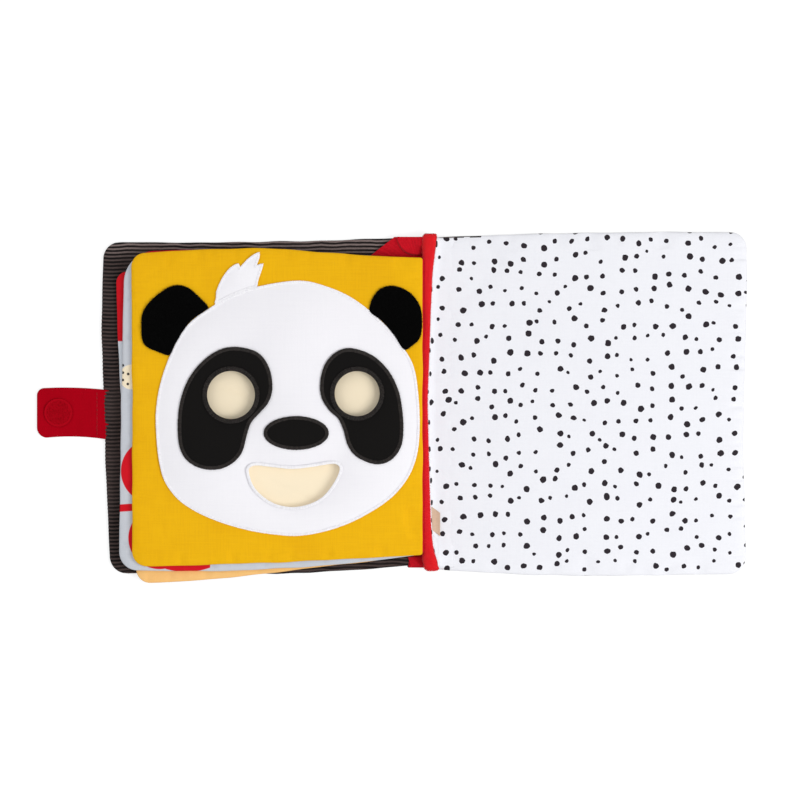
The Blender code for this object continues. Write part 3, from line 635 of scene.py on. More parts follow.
def join_pad(name, grid, above, below, middle, finishes):
    """Two height fields over one grid, welded along the rim into one closed pad."""
    rows, columns = grid.shape[:2]
    count = rows * columns
    flat = grid.reshape(-1, 2)
    rim = np.zeros((rows, columns), bool)
    rim[[0, -1], :] = rim[:, [0, -1]] = True
    rim = rim.ravel()
    top = np.column_stack((flat, middle + np.where(rim, 0, above)))
    bottom = np.column_stack((flat, middle - np.where(rim, 0, below)))
    under = np.where(rim, np.arange(count), 0)
    under[~rim] = count + np.arange((~rim).sum())
    quads = grid_quads(rows, columns)
    first, second = grid[0, 1] - grid[0, 0], grid[1, 0] - grid[0, 0]
    if first[0] * second[1] - first[1] * second[0] < 0:
        quads = quads[:, ::-1]
    mesh = bpy.data.meshes.new(name)
    mesh.from_pydata(np.vstack((top, bottom[~rim])), [], np.vstack((quads, under[quads][:, ::-1])).tolist())
    mesh.polygons.foreach_set("material_index", np.repeat((0, 1), len(quads)))
    for finish in finishes:
        mesh.materials.append(finish)
    mesh.shade_smooth()
    obj = add_object(name, mesh)
    return obj, rim


def store_points(obj, attribute, values):
    made = obj.data.attributes.new(attribute, "FLOAT", "POINT")
    made.data.foreach_set("value", np.asarray(values, np.float32))


def lay_cut(obj, run_in=None):
    """UV map in metres, as the cloth lay when it was cut."""
    uv = obj.data.uv_layers.new(name="cut")
    corners = np.array([loop.vertex_index for loop in obj.data.loops])
    points = np.array([vertex.co for vertex in obj.data.vertices])
    across = points[:, 0] if run_in is None else run_in
    uv.data.foreach_set("uv", np.column_stack((across, points[:, 1]))[corners].ravel())


def make_pad(name, panel, low, high, rise, finishes, step, row_step=None, pucker=0.0006, ribs=(0, 0),
             seed=1, creases_above=(), creases_below=()):
    middle, half = (low + high) / 2, (high - low) / 2
    width, height = np.ptp(panel.outline(), axis=0)
    grid = panel.grid(stations(width, step), stations(height, row_step or step))
    above, count = shape_side(panel, grid, half, rise, seed, pucker, ribs[0], creases_above)
    below, _ = shape_side(panel, grid, half, rise, seed + 7, pucker, ribs[1], creases_below)
    pad, rim = join_pad(name, grid, above, below, middle, finishes)
    store_points(pad, "rib", np.concatenate((count, count[~rim])))
    lay_cut(pad)
    print(name, "has", len(pad.data.polygons), "faces")
    return pad


def height_of(node):
    low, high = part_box(node)
    return low.z, high.z

# %% [markdown]
# ## The two covers
#
# Each cover is one pad. Its ribs run across the book, as the cloth was cut, and stand half a
# millimetre proud of their grooves. The open cover is lined with dotted cotton, so its upper side
# takes the other finish and a few long creases where the wadding has shifted.

# %% Covers
cover_low, cover_high = height_of("left_cover_outer")[0], height_of("left_cover_inner")[1]
left_cover = make_pad("left_cover", left_panel, cover_low, cover_high, 0.006, (corduroy, corduroy), 0.0042,
                      0.00038, pucker=0.0007, ribs=(0.0005, 0.0005), seed=11)
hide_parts("left_cover_outer", "left_cover_inner", "left_cover_wadding")
lining_creases = (
    ((0.034, 0.1005), (0.045, 0.083), 0.0022, 0.0012),
    ((0.049, 0.1005), (0.056, 0.091), 0.0016, 0.0008),
    ((0.097, 0.1040), (0.101, 0.092), 0.0020, 0.0014),
    ((0.140, 0.1045), (0.143, 0.093), 0.0024, 0.0013),
    ((0.012, -0.080), (0.020, -0.0985), 0.0018, 0.0009),
    ((0.093, -0.1020), (0.098, -0.090), 0.0018, 0.0010),
    ((0.118, -0.1030), (0.124, -0.093), 0.0020, 0.0013),
    ((0.141, -0.1035), (0.150, -0.096), 0.0019, 0.0012),
    ((0.020, 0.060), (0.050, 0.088), 0.0030, 0.0003),
)
right_cover = make_pad("right_cover", right_panel, cover_low, cover_high, 0.006, (dotted_cotton, corduroy),
                       0.0034, 0.00038, pucker=0.0009, ribs=(0, 0.0005), seed=23,
                       creases_above=lining_creases)
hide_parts("right_cover_lining", "right_cover_outer", "right_cover_wadding")
head_line = np.array([right_panel.side_point(0, step / 300) for step in range(301)])
peep = Waves(29, (0.019, 0.0091))
for polygon in right_cover.data.polygons:
    x, y = polygon.center.xy
    shown = 0.0009 + 0.0004 * float(peep(x))
    if x < 0.034 and float(np.interp(x, head_line[:, 0], head_line[:, 1])) - y < shown:
        polygon.material_index = 1
for cover, body, slot in ((left_cover, "left_cover", "corduroy"), (right_cover, "right_cover", "dotted_cotton")):
    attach(cover, body)

# %% [markdown]
# ## Three padded pages
#
# The pages are thinner pads of the same make. The yellow one on top is a mask, so two eyes and a
# mouth are cut through it. A Boolean does that cleanly, and the bound rims will hide the raw edge.


# %% Hole outlines
def ring_of(x, y, half_width, half_height, steps):
    return [(x + half_width * math.cos(math.tau * n / steps), y + half_height * math.sin(math.tau * n / steps))
            for n in range(steps)]


def offset(outline, distance):
    """The outline with every edge moved outwards. It runs anticlockwise."""
    points = np.array(outline, float)
    before = points - np.roll(points, 1, axis=0)
    after = np.roll(points, -1, axis=0) - points
    before /= np.linalg.norm(before, axis=1, keepdims=True)
    after /= np.linalg.norm(after, axis=1, keepdims=True)
    first = np.column_stack((before[:, 1], -before[:, 0]))
    second = np.column_stack((after[:, 1], -after[:, 0]))
    reach = distance / (1 + np.maximum((first * second).sum(axis=1), -0.6))
    return points + (first + second) * reach[:, None]


def smooth_ring(knots, steps):
    """Closed curve through points given in millimetres, cut into even steps."""
    knots = np.array(knots, float) * mm
    dense = []
    for here in range(len(knots)):
        a, b, c, d = (knots[(here + step) % len(knots)] for step in (-1, 0, 1, 2))
        for t in np.linspace(0, 1, 24, endpoint=False):
            dense.append(b + 0.5 * t * (c - a + t * (2 * a - 5 * b + 4 * c - d + t * (3 * b - 3 * c + d - a))))
    dense = np.array(dense + dense[:1])
    run = np.concatenate(([0], np.cumsum(np.linalg.norm(np.diff(dense, axis=0), axis=1))))
    even = np.linspace(0, run[-1], steps, endpoint=False)
    return np.column_stack([np.interp(even, run, dense[:, axis]) for axis in (0, 1)])


mouth_knots = ((-106.3, -40.8), (-103.6, -49.0), (-97.9, -55.4), (-90.0, -60.1), (-79.8, -61.9), (-69.6, -60.0),
               (-61.2, -55.2), (-54.9, -47.1), (-51.6, -39.6), (-53.1, -36.2), (-57.6, -35.8), (-68.4, -37.5),
               (-80.4, -38.7), (-93.6, -37.4), (-101.4, -36.6), (-105.4, -37.8))
eyes = {"left": (-0.1169, 0.0054, 0.0144), "right": (-0.0413, 0.0062, 0.0135)}
sleeve = 0.0006
hole_rings = [ring_of(x, y, radius + sleeve, radius + sleeve, 72) for x, y, radius in eyes.values()]
hole_rings.append(offset(smooth_ring(mouth_knots, 90), sleeve))
print("Holes:", len(hole_rings))


# %% Pages
def skin_between(bm, lower, upper):
    """Faces all the way round between two rings of points."""
    for here in range(len(lower)):
        after = (here + 1) % len(lower)
        bm.faces.new((lower[here], lower[after], upper[after], upper[here]))


def make_prism(name, outline, low, high):
    bm = bmesh.new()
    rings = [[bm.verts.new((x, y, z)) for x, y in outline] for z in (low, high)]
    bm.faces.new(rings[0][::-1])
    bm.faces.new(rings[1])
    skin_between(bm, *rings)
    mesh = mesh_from(name, bm)
    return add_object(name, mesh)


def apply_modifiers(obj):
    """Keep what the modifiers made as a plain mesh."""
    shown = obj.evaluated_get(bpy.context.evaluated_depsgraph_get())
    mesh = bpy.data.meshes.new_from_object(shown)
    obj.modifiers.clear()
    obj.data = mesh
    return obj


def cut_through(obj, outlines):
    blades = [make_prism(f"blade_{n}", outline, -0.01, 0.04) for n, outline in enumerate(outlines)]
    for blade in blades:
        cut = obj.modifiers.new("hole", "BOOLEAN")
        cut.object, cut.solver, cut.operation = blade, "EXACT", "DIFFERENCE"
    apply_modifiers(obj)
    for blade in blades:
        bpy.data.objects.remove(blade)


page_cloths = ((two_tone, red_page), (page_ink, page_ink), (yellow_cotton, white_cotton))
page_creases = (
    (),
    (((-0.104, 0.0030), (-0.126, 0.0125), 0.0010, 0.0011), ((-0.100, -0.045), (-0.060, -0.060), 0.0015, 0.0006)),
    (((-0.1525, 0.0925), (-0.1555, 0.0800), 0.0013, 0.0009), ((-0.161, -0.002), (-0.158, -0.045), 0.0016, 0.0007),
     ((-0.170, 0.075), (-0.158, 0.082), 0.0016, 0.0005), ((-0.013, -0.060), (-0.004, -0.088), 0.0030, 0.0008),
     ((-0.168, -0.060), (-0.150, -0.088), 0.0024, 0.0005), ((-0.013, -0.0680), (0.008, -0.0690), 0.0050, 0.0022)),
)
for number, (panel, cloths, folds) in enumerate(zip(page_panels, page_cloths, page_creases), start=1):
    low, high = height_of(f"leaf_{number}_back")[0], height_of(f"leaf_{number}_front")[1]
    page = make_pad(f"page_{number}", panel, low, high, 0.005, cloths, 0.0018, pucker=0.0007,
                    seed=31 * number, creases_above=folds)
    if number == 3:
        cut_through(page, hole_rings)
    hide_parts(*[f"leaf_{number}_{part}" for part in ("front", "back", "film", "wadding")])
    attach(page, f"leaf_{number}")

# %% [markdown]
# ## Satin stitch
#
# A machine covers a raw edge with satin stitch: one short thread beside the next, square across the
# edge. That is hundreds of the same thing along a path, so Geometry Nodes lays them. One arched
# thread is placed at even steps along the outline, turned across it, and given its own shade. The
# same tree sews the face, the eye patches, the nose, the mouth and the tuft, with other sizes.


# %% Stitch tree
def node_group(name, inputs):
    group = bpy.data.node_groups.new(name, "GeometryNodeTree")
    group.interface.new_socket("Geometry", in_out="INPUT", socket_type="NodeSocketGeometry")
    for label, kind in inputs:
        group.interface.new_socket(label, in_out="INPUT", socket_type=kind)
    group.interface.new_socket("Geometry", in_out="OUTPUT", socket_type="NodeSocketGeometry")
    return group, group.nodes.new("NodeGroupInput").outputs


def finish_group(group, geometry, finish):
    """Turn the instances into real faces, shade them smooth and dress them."""
    real = add_node(group, "GeometryNodeRealizeInstances", {0: geometry}).outputs[0]
    smooth = add_node(group, "GeometryNodeSetShadeSmooth", {"Geometry": real}).outputs[0]
    dressed = add_node(group, "GeometryNodeSetMaterial", {"Geometry": smooth, "Material": finish}).outputs[0]
    add_node(group, "NodeGroupOutput", {0: dressed})


def point_at(group, **sizes):
    return add_node(group, "ShaderNodeCombineXYZ", sizes).outputs[0]


def random_value(group, low, high, seed):
    return add_node(group, "FunctionNodeRandomValue", {2: low, 3: high, "Seed": seed}, data_type="FLOAT").outputs[1]


def shade_instances(group, instances, seed):
    """Give each instance a shade of its own, which its finish reads."""
    return add_node(group, "GeometryNodeStoreNamedAttribute", {
        "Geometry": instances, "Name": "shade", "Value": random_value(group, 0.0, 1.0, seed)},
        domain="INSTANCE", data_type="FLOAT").outputs[0]


stitch_group, sizes = node_group("satin_stitch", (
    ("Spacing", "NodeSocketFloat"), ("Length", "NodeSocketFloat"), ("Thickness", "NodeSocketFloat"),
    ("Arch", "NodeSocketFloat"), ("Seed", "NodeSocketInt"), ("Finish", "NodeSocketMaterial")))
edge_line = add_node(stitch_group, "GeometryNodeMeshToCurve", {0: sizes["Geometry"]}).outputs[0]
places = add_node(stitch_group, "GeometryNodeResampleCurve", {"Curve": edge_line, "Length": sizes["Spacing"]},
                  mode="LENGTH").outputs[0]
half_length = calc(stitch_group, "MULTIPLY", sizes["Length"], 0.5)
thread_line = add_node(stitch_group, "GeometryNodeCurveArc", {
    "Resolution": 7, "Start": point_at(stitch_group, X=half_length),
    "Middle": point_at(stitch_group, Z=sizes["Arch"]),
    "End": point_at(stitch_group, X=calc(stitch_group, "MULTIPLY", half_length, -1.0))},
    mode="POINTS").outputs[0]
thread_round = add_node(stitch_group, "GeometryNodeCurvePrimitiveCircle", {
    "Resolution": 5, "Radius": calc(stitch_group, "MULTIPLY", sizes["Thickness"], 0.5)}).outputs[0]
thread = add_node(stitch_group, "GeometryNodeCurveToMesh", {
    "Curve": thread_line, "Profile Curve": thread_round, "Fill Caps": True}).outputs[0]
along = add_node(stitch_group, "GeometryNodeInputTangent").outputs[0]
across_edge = add_node(stitch_group, "FunctionNodeAlignRotationToVector", {"Vector": along}, axis="Y",
                       pivot_axis="Z").outputs[0]
stray = random_value(stitch_group, -0.1, 0.1, sizes["Seed"])
turned = add_node(stitch_group, "FunctionNodeRotateRotation", {
    "Rotation": across_edge, "Rotate By": point_at(stitch_group, Z=stray)}, rotation_space="LOCAL").outputs[0]
reach = random_value(stitch_group, 0.9, 1.08, sizes["Seed"])
stretched = point_at(stitch_group, X=reach, Y=1.0, Z=1.0)
sewn = add_node(stitch_group, "GeometryNodeInstanceOnPoints", {
    "Points": places, "Instance": thread, "Rotation": turned, "Scale": stretched}).outputs[0]
finish_group(stitch_group, shade_instances(stitch_group, sewn, 5), sizes["Finish"])


# %% Stitch maker
def thread_finish(name, main, deep, roughness=0.45):
    """Shiny embroidery thread, each stitch a little lighter or deeper than the next."""
    finish, tree, surface, place = new_finish(name, roughness, 0.15)
    shade = add_node(tree, "ShaderNodeAttribute", attribute_name="shade").outputs["Fac"]
    twist = noise(tree, place, 0.00025, 2.0)
    mixed = calc(tree, "ADD", calc(tree, "MULTIPLY", shade, 0.7), calc(tree, "MULTIPLY", twist, 0.3))
    tree.links.new(mix_colour(tree, mixed, deep, main), surface.inputs["Base Color"])
    bump(tree, surface, twist, 0.00006, 0.6)
    return finish


white_thread = thread_finish("white_thread", screen_colour(255, 254, 255), screen_colour(240, 238, 242), 0.7)
black_thread = thread_finish("black_thread", screen_colour(50, 44, 41), screen_colour(14, 11, 10))
red_thread = thread_finish("red_thread", screen_colour(196, 16, 34), screen_colour(140, 2, 16))


def line_object(name, points, edges):
    mesh = bpy.data.meshes.new(name)
    mesh.from_pydata([tuple(map(float, point)) for point in points], edges, [])
    return add_object(name, mesh)


def run_group(obj, group, values):
    """Run a Geometry Nodes tree on an object and keep the result as a plain mesh."""
    layer = obj.modifiers.new(group.name, "NODES")
    layer.node_group = group
    named = {item.name: item.identifier for item in group.interface.items_tree if item.in_out == "INPUT"}
    for label, value in values.items():
        layer[named[label]] = value
    return apply_modifiers(obj)


def satin_border(name, outline, height, length, finish, seed, spacing=0.00038, thickness=0.00056,
                 arch=0.0002):
    count = len(outline)
    line = line_object(name, [(x, y, height) for x, y in outline], [(n, (n + 1) % count) for n in range(count)])
    run_group(line, stitch_group, {"Spacing": spacing, "Length": length, "Thickness": thickness,
                                   "Arch": arch, "Seed": seed, "Finish": finish})
    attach(line, "leaf_3")
    print(name, "has", len(line.data.polygons), "faces")

# %% [markdown]
# ## The mask
#
# The animal's face is flat pieces of cloth laid one on another: white, then black patches and a
# nose. Each is a thin plate whose edge is rolled over a little, as pressed cloth is. Each outline
# was read off the photograph as a few points, and a smooth closed curve runs through them.


# %% Mask outlines
face_outline = smooth_ring((
    (-76.8, 73.7), (-100.4, 70.2), (-116.4, 64.8), (-129.3, 57.4), (-141.6, 48.3), (-150.3, 35.1),
    (-157.8, 16.4), (-161.4, -2.1), (-161.4, -18.6), (-159.4, -36.2), (-155.1, -48.6), (-145.4, -59.5),
    (-129.3, -68.3), (-109.2, -74.8), (-90.6, -78.0), (-75.6, -78.7), (-58.8, -75.6), (-41.8, -69.2),
    (-23.5, -58.1), (-12.7, -46.6), (-6.9, -34.8), (-4.3, -20.6), (-4.4, -0.6), (-7.2, 20.8),
    (-14.1, 34.0), (-26.5, 49.1), (-43.7, 62.9), (-60.6, 70.5)), 260)
patch_rings = {
    "left": smooth_ring((
        (-113.4, 34.0), (-124.4, 32.0), (-134.7, 24.6), (-142.6, 14.0), (-147.3, 0.6), (-148.6, -13.8),
        (-147.3, -26.4), (-142.2, -34.5), (-133.3, -38.8), (-123.6, -38.8), (-115.8, -35.1),
        (-110.4, -28.8), (-107.7, -19.2), (-105.0, -11.1), (-99.5, -4.9), (-94.5, 1.2), (-92.2, 10.0),
        (-94.2, 21.6), (-100.8, 30.6)), 130),
    "right": smooth_ring((
        (-44.4, 33.2), (-52.8, 31.5), (-59.7, 24.9), (-63.0, 15.0), (-62.7, 4.8), (-58.2, -3.3),
        (-52.5, -8.7), (-49.3, -15.6), (-46.8, -24.4), (-42.0, -31.1), (-32.6, -35.5), (-25.2, -35.4),
        (-18.9, -31.5), (-14.7, -24.0), (-13.7, -14.4), (-14.4, -3.6), (-16.8, 8.4), (-22.8, 20.1),
        (-32.4, 29.1)), 130)}


def face_top(x):
    """Height of the face's upper edge on the page."""
    upper = face_outline[face_outline[:, 1] > 0]
    upper = upper[np.argsort(upper[:, 0])]
    return float(np.interp(x, upper[:, 0], upper[:, 1]))


tuft_knots = ((-125.8, 63.1), (-125.6, 67.2), (-124.1, 71.3), (-121.7, 76.1), (-118.3, 80.6), (-115.5, 82.9),
              (-112.4, 84.4), (-111.4, 81.8), (-107.2, 86.5), (-103.1, 89.6), (-99.7, 91.2), (-99.8, 88.2),
              (-101.7, 82.9), (-97.3, 84.4), (-98.6, 80.3), (-100.3, 75.5), (-101.1, 71.8))


def tuft_ring():
    """The tuft's outline, anticlockwise. Its root follows the face's upper edge."""
    roots = [(x, face_top(x) + 0.0001) for x in np.linspace(-0.1013, -0.1266, 9)]
    return ([(x / 1000, y / 1000) for x, y in tuft_knots] + roots)[::-1]


# %% Flat pieces
def cloth_plate(name, outline, holes, low, high, finish, replaced, slot):
    """Thin cloth with a rolled edge. The outline runs anticlockwise, and so do the holes."""
    thick = high - low
    bm = bmesh.new()

    def wall(ring, inwards):
        levels = ((0.25, low), (0.0, low + 0.35 * thick), (0.1, low + 0.75 * thick), (0.6, high))
        rings = [[bm.verts.new((*point, z)) for point in offset(ring, -inwards * share * thick)]
                 for share, z in levels]
        for lower, upper in zip(rings, rings[1:]):
            skin_between(bm, lower, upper)
        return rings[0], rings[-1]

    ends = [wall(outline, 1)] + [wall(hole, -1) for hole in holes]
    for side in (0, 1):
        edges = []
        for pair in ends:
            ring = pair[side]
            edges += [bm.edges.get((ring[n - 1], ring[n])) for n in range(len(ring))]
        bmesh.ops.triangle_fill(bm, edges=edges, use_beauty=True)
    bmesh.ops.recalc_face_normals(bm, faces=bm.faces)
    mesh = mesh_from(name, bm)
    mesh.shade_smooth()
    mesh.set_sharp_from_angle(angle=math.radians(50))
    mesh.materials.append(finish)
    obj = add_object(name, mesh)
    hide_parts(replaced)
    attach(obj, "leaf_3")


face_levels, patch_levels = height_of("face"), height_of("nose")
nose_ring = ring_of(-0.0778, -0.0174, 0.0194, 0.01, 72)
cloth_plate("panda_face", face_outline, hole_rings, *face_levels, face_white, "face", "white_cotton")
cloth_plate("hair_lock", tuft_ring(), [], *face_levels, face_white, "hair_tuft", "white_cotton")
cloth_plate("panda_nose", nose_ring, [], *patch_levels, patch_black, "nose", "black_satin")
for number, side in enumerate(("left", "right")):
    cloth_plate(f"eye_patch_cloth_{side}", patch_rings[side], [hole_rings[number]], *patch_levels,
                patch_black, f"eye_patch_{side}", "black_satin")
print("Face width and height in mm:", (np.ptp(face_outline, axis=0) / mm).round(1))

# %% [markdown]
# The holes are bound: the cloth is turned through the page and stitched flat round each hole. A
# lathe-like sweep of one small cross-section along the hole's outline makes the binding, and satin
# stitch goes over its lip.


# %% Bound holes
def bound_rim(name, ring, low, high, flange, flange_low, finish, replaced):
    """Sweep a sleeve with a rounded lip round a hole. The ring is the hole's clear opening."""
    lip = 0.0003
    section = ((sleeve, low + lip), (sleeve, flange_low), (flange, flange_low), (flange, high - lip),
               (flange - lip, high), (lip, high), (0.0, high - lip), (0.0, low + lip), (lip, low),
               (sleeve - lip, low))
    bm = bmesh.new()
    rings = [[bm.verts.new((*point, z)) for point in offset(ring, reach)] for reach, z in section]
    for lower, upper in zip(rings, rings[1:] + rings[:1]):
        skin_between(bm, lower, upper)
    bmesh.ops.recalc_face_normals(bm, faces=bm.faces)
    mesh = mesh_from(name, bm)
    mesh.shade_smooth()
    mesh.materials.append(finish)
    obj = add_object(name, mesh)
    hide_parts(replaced)
    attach(obj, "leaf_3")


page_low = height_of("leaf_3_back")[0]
for side, (x, y, radius) in eyes.items():
    ring = ring_of(x, y, radius, radius, 96)
    high = height_of(f"eye_rim_{side}")[1] - 0.0002
    bound_rim(f"eye_binding_{side}", ring, page_low, high, 0.0025, patch_levels[1] + 0.0002, patch_black,
              f"eye_rim_{side}")
    satin_border(f"eye_stitches_{side}", offset(ring, 0.0014), high - 0.0001, 0.0026, black_thread, 3,
                 spacing=0.0005, thickness=0.00045, arch=0.0002)
mouth = smooth_ring(mouth_knots, 150)
mouth_high = height_of("mouth_rim")[1] - 0.0001
bound_rim("mouth_binding", mouth, page_low, mouth_high, 0.0015, face_levels[1] + 0.0002, face_white,
          "mouth_rim")
satin_border("mouth_stitches", offset(mouth, 0.0007), mouth_high - 0.0001, 0.0016, white_thread, 4)

# %% Stitched edges of the mask
for name, ring, inset, height, length, finish, seed in (
        ("face_stitches", face_outline, 0.0006, face_levels[1], 0.0015, white_thread, 6),
        ("tuft_stitches", tuft_ring(), 0.0006, face_levels[1], 0.0014, white_thread, 7),
        ("nose_stitches", nose_ring, 0.0009, patch_levels[1], 0.0020, black_thread, 8),
        ("patch_stitches_left", patch_rings["left"], 0.0009, patch_levels[1], 0.0021, black_thread, 9),
        ("patch_stitches_right", patch_rings["right"], 0.0009, patch_levels[1], 0.0021, black_thread, 10)):
    satin_border(name, offset(ring, -inset), height - 0.0001, length, finish, seed)

# %% [markdown]
# ## Plush ears
#
# The ears are black plush. A crowned body gives the shape, and thousands of short, leaning fibres
# give the soft outline and the deep black of real pile. Geometry Nodes scatters them over the body
# with a fixed seed. A fibre is a three-sided spike, so that thousands stay light.

# %% Pile tree
pile_group, sizes = node_group("pile", (
    ("Density", "NodeSocketFloat"), ("Length", "NodeSocketFloat"), ("Width", "NodeSocketFloat"),
    ("Lean", "NodeSocketFloat"), ("Seed", "NodeSocketInt"), ("Finish", "NodeSocketMaterial")))
scatter = add_node(pile_group, "GeometryNodeDistributePointsOnFaces", {
    "Mesh": sizes["Geometry"], "Density": sizes["Density"], "Seed": sizes["Seed"]})
fibre = add_node(pile_group, "GeometryNodeMeshCone", {
    "Vertices": 3, "Side Segments": 1, "Radius Top": 0.0, "Radius Bottom": sizes["Width"],
    "Depth": sizes["Length"]}, fill_type="NONE").outputs[0]
minus_lean = calc(pile_group, "MULTIPLY", sizes["Lean"], -1.0)
low_lean = point_at(pile_group, X=minus_lean, Y=minus_lean)
high_lean = point_at(pile_group, X=sizes["Lean"], Y=sizes["Lean"], Z=math.pi)
lean = add_node(pile_group, "FunctionNodeRandomValue", {0: low_lean, 1: high_lean, "Seed": sizes["Seed"]},
                data_type="FLOAT_VECTOR").outputs[0]
leaning = add_node(pile_group, "FunctionNodeRotateRotation", {"Rotation": scatter.outputs["Rotation"],
                                                              "Rotate By": lean},
                   rotation_space="LOCAL").outputs[0]
grown = add_node(pile_group, "GeometryNodeInstanceOnPoints", {
    "Points": scatter.outputs["Points"], "Instance": fibre, "Rotation": leaning}).outputs[0]
finish_group(pile_group, shade_instances(pile_group, grown, 9), sizes["Finish"])


# %% Ears
def pile_finish(name, main, deep, sheen):
    finish, tree, surface, _ = new_finish(name, 0.9, sheen, 0.05)
    shade = add_node(tree, "ShaderNodeAttribute", attribute_name="shade").outputs["Fac"]
    tree.links.new(mix_colour(tree, shade, deep, main), surface.inputs["Base Color"])
    return finish


black_pile = pile_finish("black_pile", screen_colour(11, 10, 10), screen_colour(1, 1, 1), 0.03)
red_pile = pile_finish("red_pile", screen_colour(255, 60, 58), screen_colour(222, 22, 32), 0.2)
red_felt = woven_cotton("red_felt", screen_colour(236, 30, 40), screen_colour(204, 14, 28), 0.0006, 0.95, 0.2)


def copy_of_node(node, name, finish):
    """Copy of a CAD node's mesh, with its loose triangles merged."""
    bm = bmesh.new()
    bm.from_mesh(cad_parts[node].data)
    bmesh.ops.remove_doubles(bm, verts=bm.verts, dist=0.00002)
    mesh = mesh_from(name, bm)
    mesh.materials.clear()
    mesh.materials.append(finish)
    return add_object(name, mesh)


def grow_pile(name, body_piece, density, length, width, lean_by, finish, seed):
    coat = add_object(name, body_piece.data.copy())
    run_group(coat, pile_group, {"Density": density, "Length": length, "Width": width, "Lean": lean_by,
                                 "Seed": seed, "Finish": finish})
    print(name, "has", len(coat.data.polygons), "faces")
    return coat


def loft_rings(name, rings, finish):
    """Skin over rings of points, with rounded caps drawn to a middle point."""
    bm = bmesh.new()
    loops = [[bm.verts.new(tuple(map(float, point))) for point in ring] for ring in rings]
    for lower, upper in zip(loops, loops[1:]):
        skin_between(bm, lower, upper)
    for loop in (loops[0], loops[-1]):
        middle = bm.verts.new(sum((v.co for v in loop), Vector()) / len(loop))
        for here in range(len(loop)):
            bm.faces.new((loop[here], loop[(here + 1) % len(loop)], middle))
    bmesh.ops.recalc_face_normals(bm, faces=bm.faces)
    mesh = mesh_from(name, bm)
    mesh.shade_smooth()
    mesh.materials.append(finish)
    return add_object(name, mesh)


ear_knots = {
    "left": ((-130.5, 58.2), (-137.3, 65.4), (-142.9, 69.8), (-149.4, 71.2), (-156.6, 68.6), (-165.4, 61.4),
             (-169.9, 54.2), (-170.6, 46.1), (-169.9, 38.1), (-167.0, 34.1), (-160.6, 31.3), (-153.7, 29.4),
             (-150.6, 35.6), (-142.0, 48.8), (-132.6, 56.0)),
    "right": ((-13.4, 32.7), (-7.9, 35.3), (-3.8, 39.4), (-2.4, 46.3), (-2.8, 55.8), (-5.2, 61.5),
              (-9.2, 66.3), (-15.5, 69.8), (-21.7, 70.8), (-27.2, 69.1), (-30.6, 65.6), (-33.1, 60.8),
              (-33.4, 55.0), (-26.3, 49.7), (-19.4, 41.6))}
hinges = {"left": ((-0.144504, 0.045202), (-0.7298, 0.68366)),
          "right": ((-0.024238, 0.048811), (0.69012, 0.72369))}
ear_section = ((0.25, 0.0), (0.6, 0.0), (0.92, 0.04), (0.985, 0.2), (1.0, 0.38), (0.985, 0.56), (0.94, 0.71),
               (0.87, 0.82), (0.75, 0.91), (0.6, 0.96), (0.4, 0.99), (0.2, 1.0))
for seed, side in enumerate(("left", "right"), start=2):
    low, high = height_of(f"ear_{side}")
    low, high = low + 0.0001, low + 0.0001 + (high - low) * 0.66
    outline = smooth_ring(ear_knots[side], 96)
    centre = outline.mean(axis=0)
    ear = loft_rings(f"ear_{side}_body", [[(*(centre + (point - centre) * share), low + (high - low) * rise)
                                           for point in outline] for share, rise in ear_section], black_pile)
    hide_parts(f"ear_{side}")
    coat = grow_pile(f"ear_{side}_pile", ear, 4.2e6, 0.0009, 0.00011, 0.9, black_pile, seed)
    (x, y), (out_x, out_y) = hinges[side]
    for piece in (ear, coat):
        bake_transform(piece)

# %% [markdown]
# ## The spine
#
# All pages are caught in one felt ridge that stands up along the hinge line. It is narrow between
# the pages and spreads at both ends, where nothing presses on it. A loft through rounded sections
# makes it, and short red pile makes its fuzzy skin. When the book closes, the spread ends follow
# the dotted cover over the ridge.

# %% Ridge
ridge_stations = ((-0.1000, 0.0006, 0.0062, 0.0050, 0.0096), (-0.0990, -0.0008, 0.0080, 0.0042, 0.0103),
                  (-0.0965, -0.0018, 0.0077, 0.0040, 0.0109), (-0.0910, -0.0020, 0.0056, 0.0052, 0.0113),
                  (-0.0860, -0.0019, 0.0041, 0.0068, 0.0114), (-0.0740, -0.0018, 0.0029, 0.0076, 0.0114),
                  (-0.0510, -0.0018, 0.0021, 0.0080, 0.0114), (-0.0210, -0.0018, 0.0013, 0.0082, 0.0114),
                  (0.0020, -0.0018, 0.0008, 0.0082, 0.0114), (0.0310, -0.0018, 0.0019, 0.0080, 0.0114),
                  (0.0550, -0.0018, 0.0027, 0.0078, 0.0114), (0.0790, -0.0018, 0.0038, 0.0068, 0.0114),
                  (0.0880, -0.0019, 0.0050, 0.0058, 0.0114), (0.0950, -0.0022, 0.0060, 0.0048, 0.0111),
                  (0.1002, -0.0022, 0.0066, 0.0042, 0.0107), (0.1020, -0.0008, 0.0060, 0.0050, 0.0099))
station_y = np.array([row[0] for row in ridge_stations])


def ridge_at(y, column):
    """A size of the ridge at any height on the page, smoothed between its stations."""
    sizes = [row[column] for row in ridge_stations]
    if abs(y) >= 0.097:
        return float(np.interp(y, station_y, sizes))
    return float(np.mean([np.interp(y + shift, station_y, sizes) for shift in np.linspace(-0.004, 0.004, 7)]))


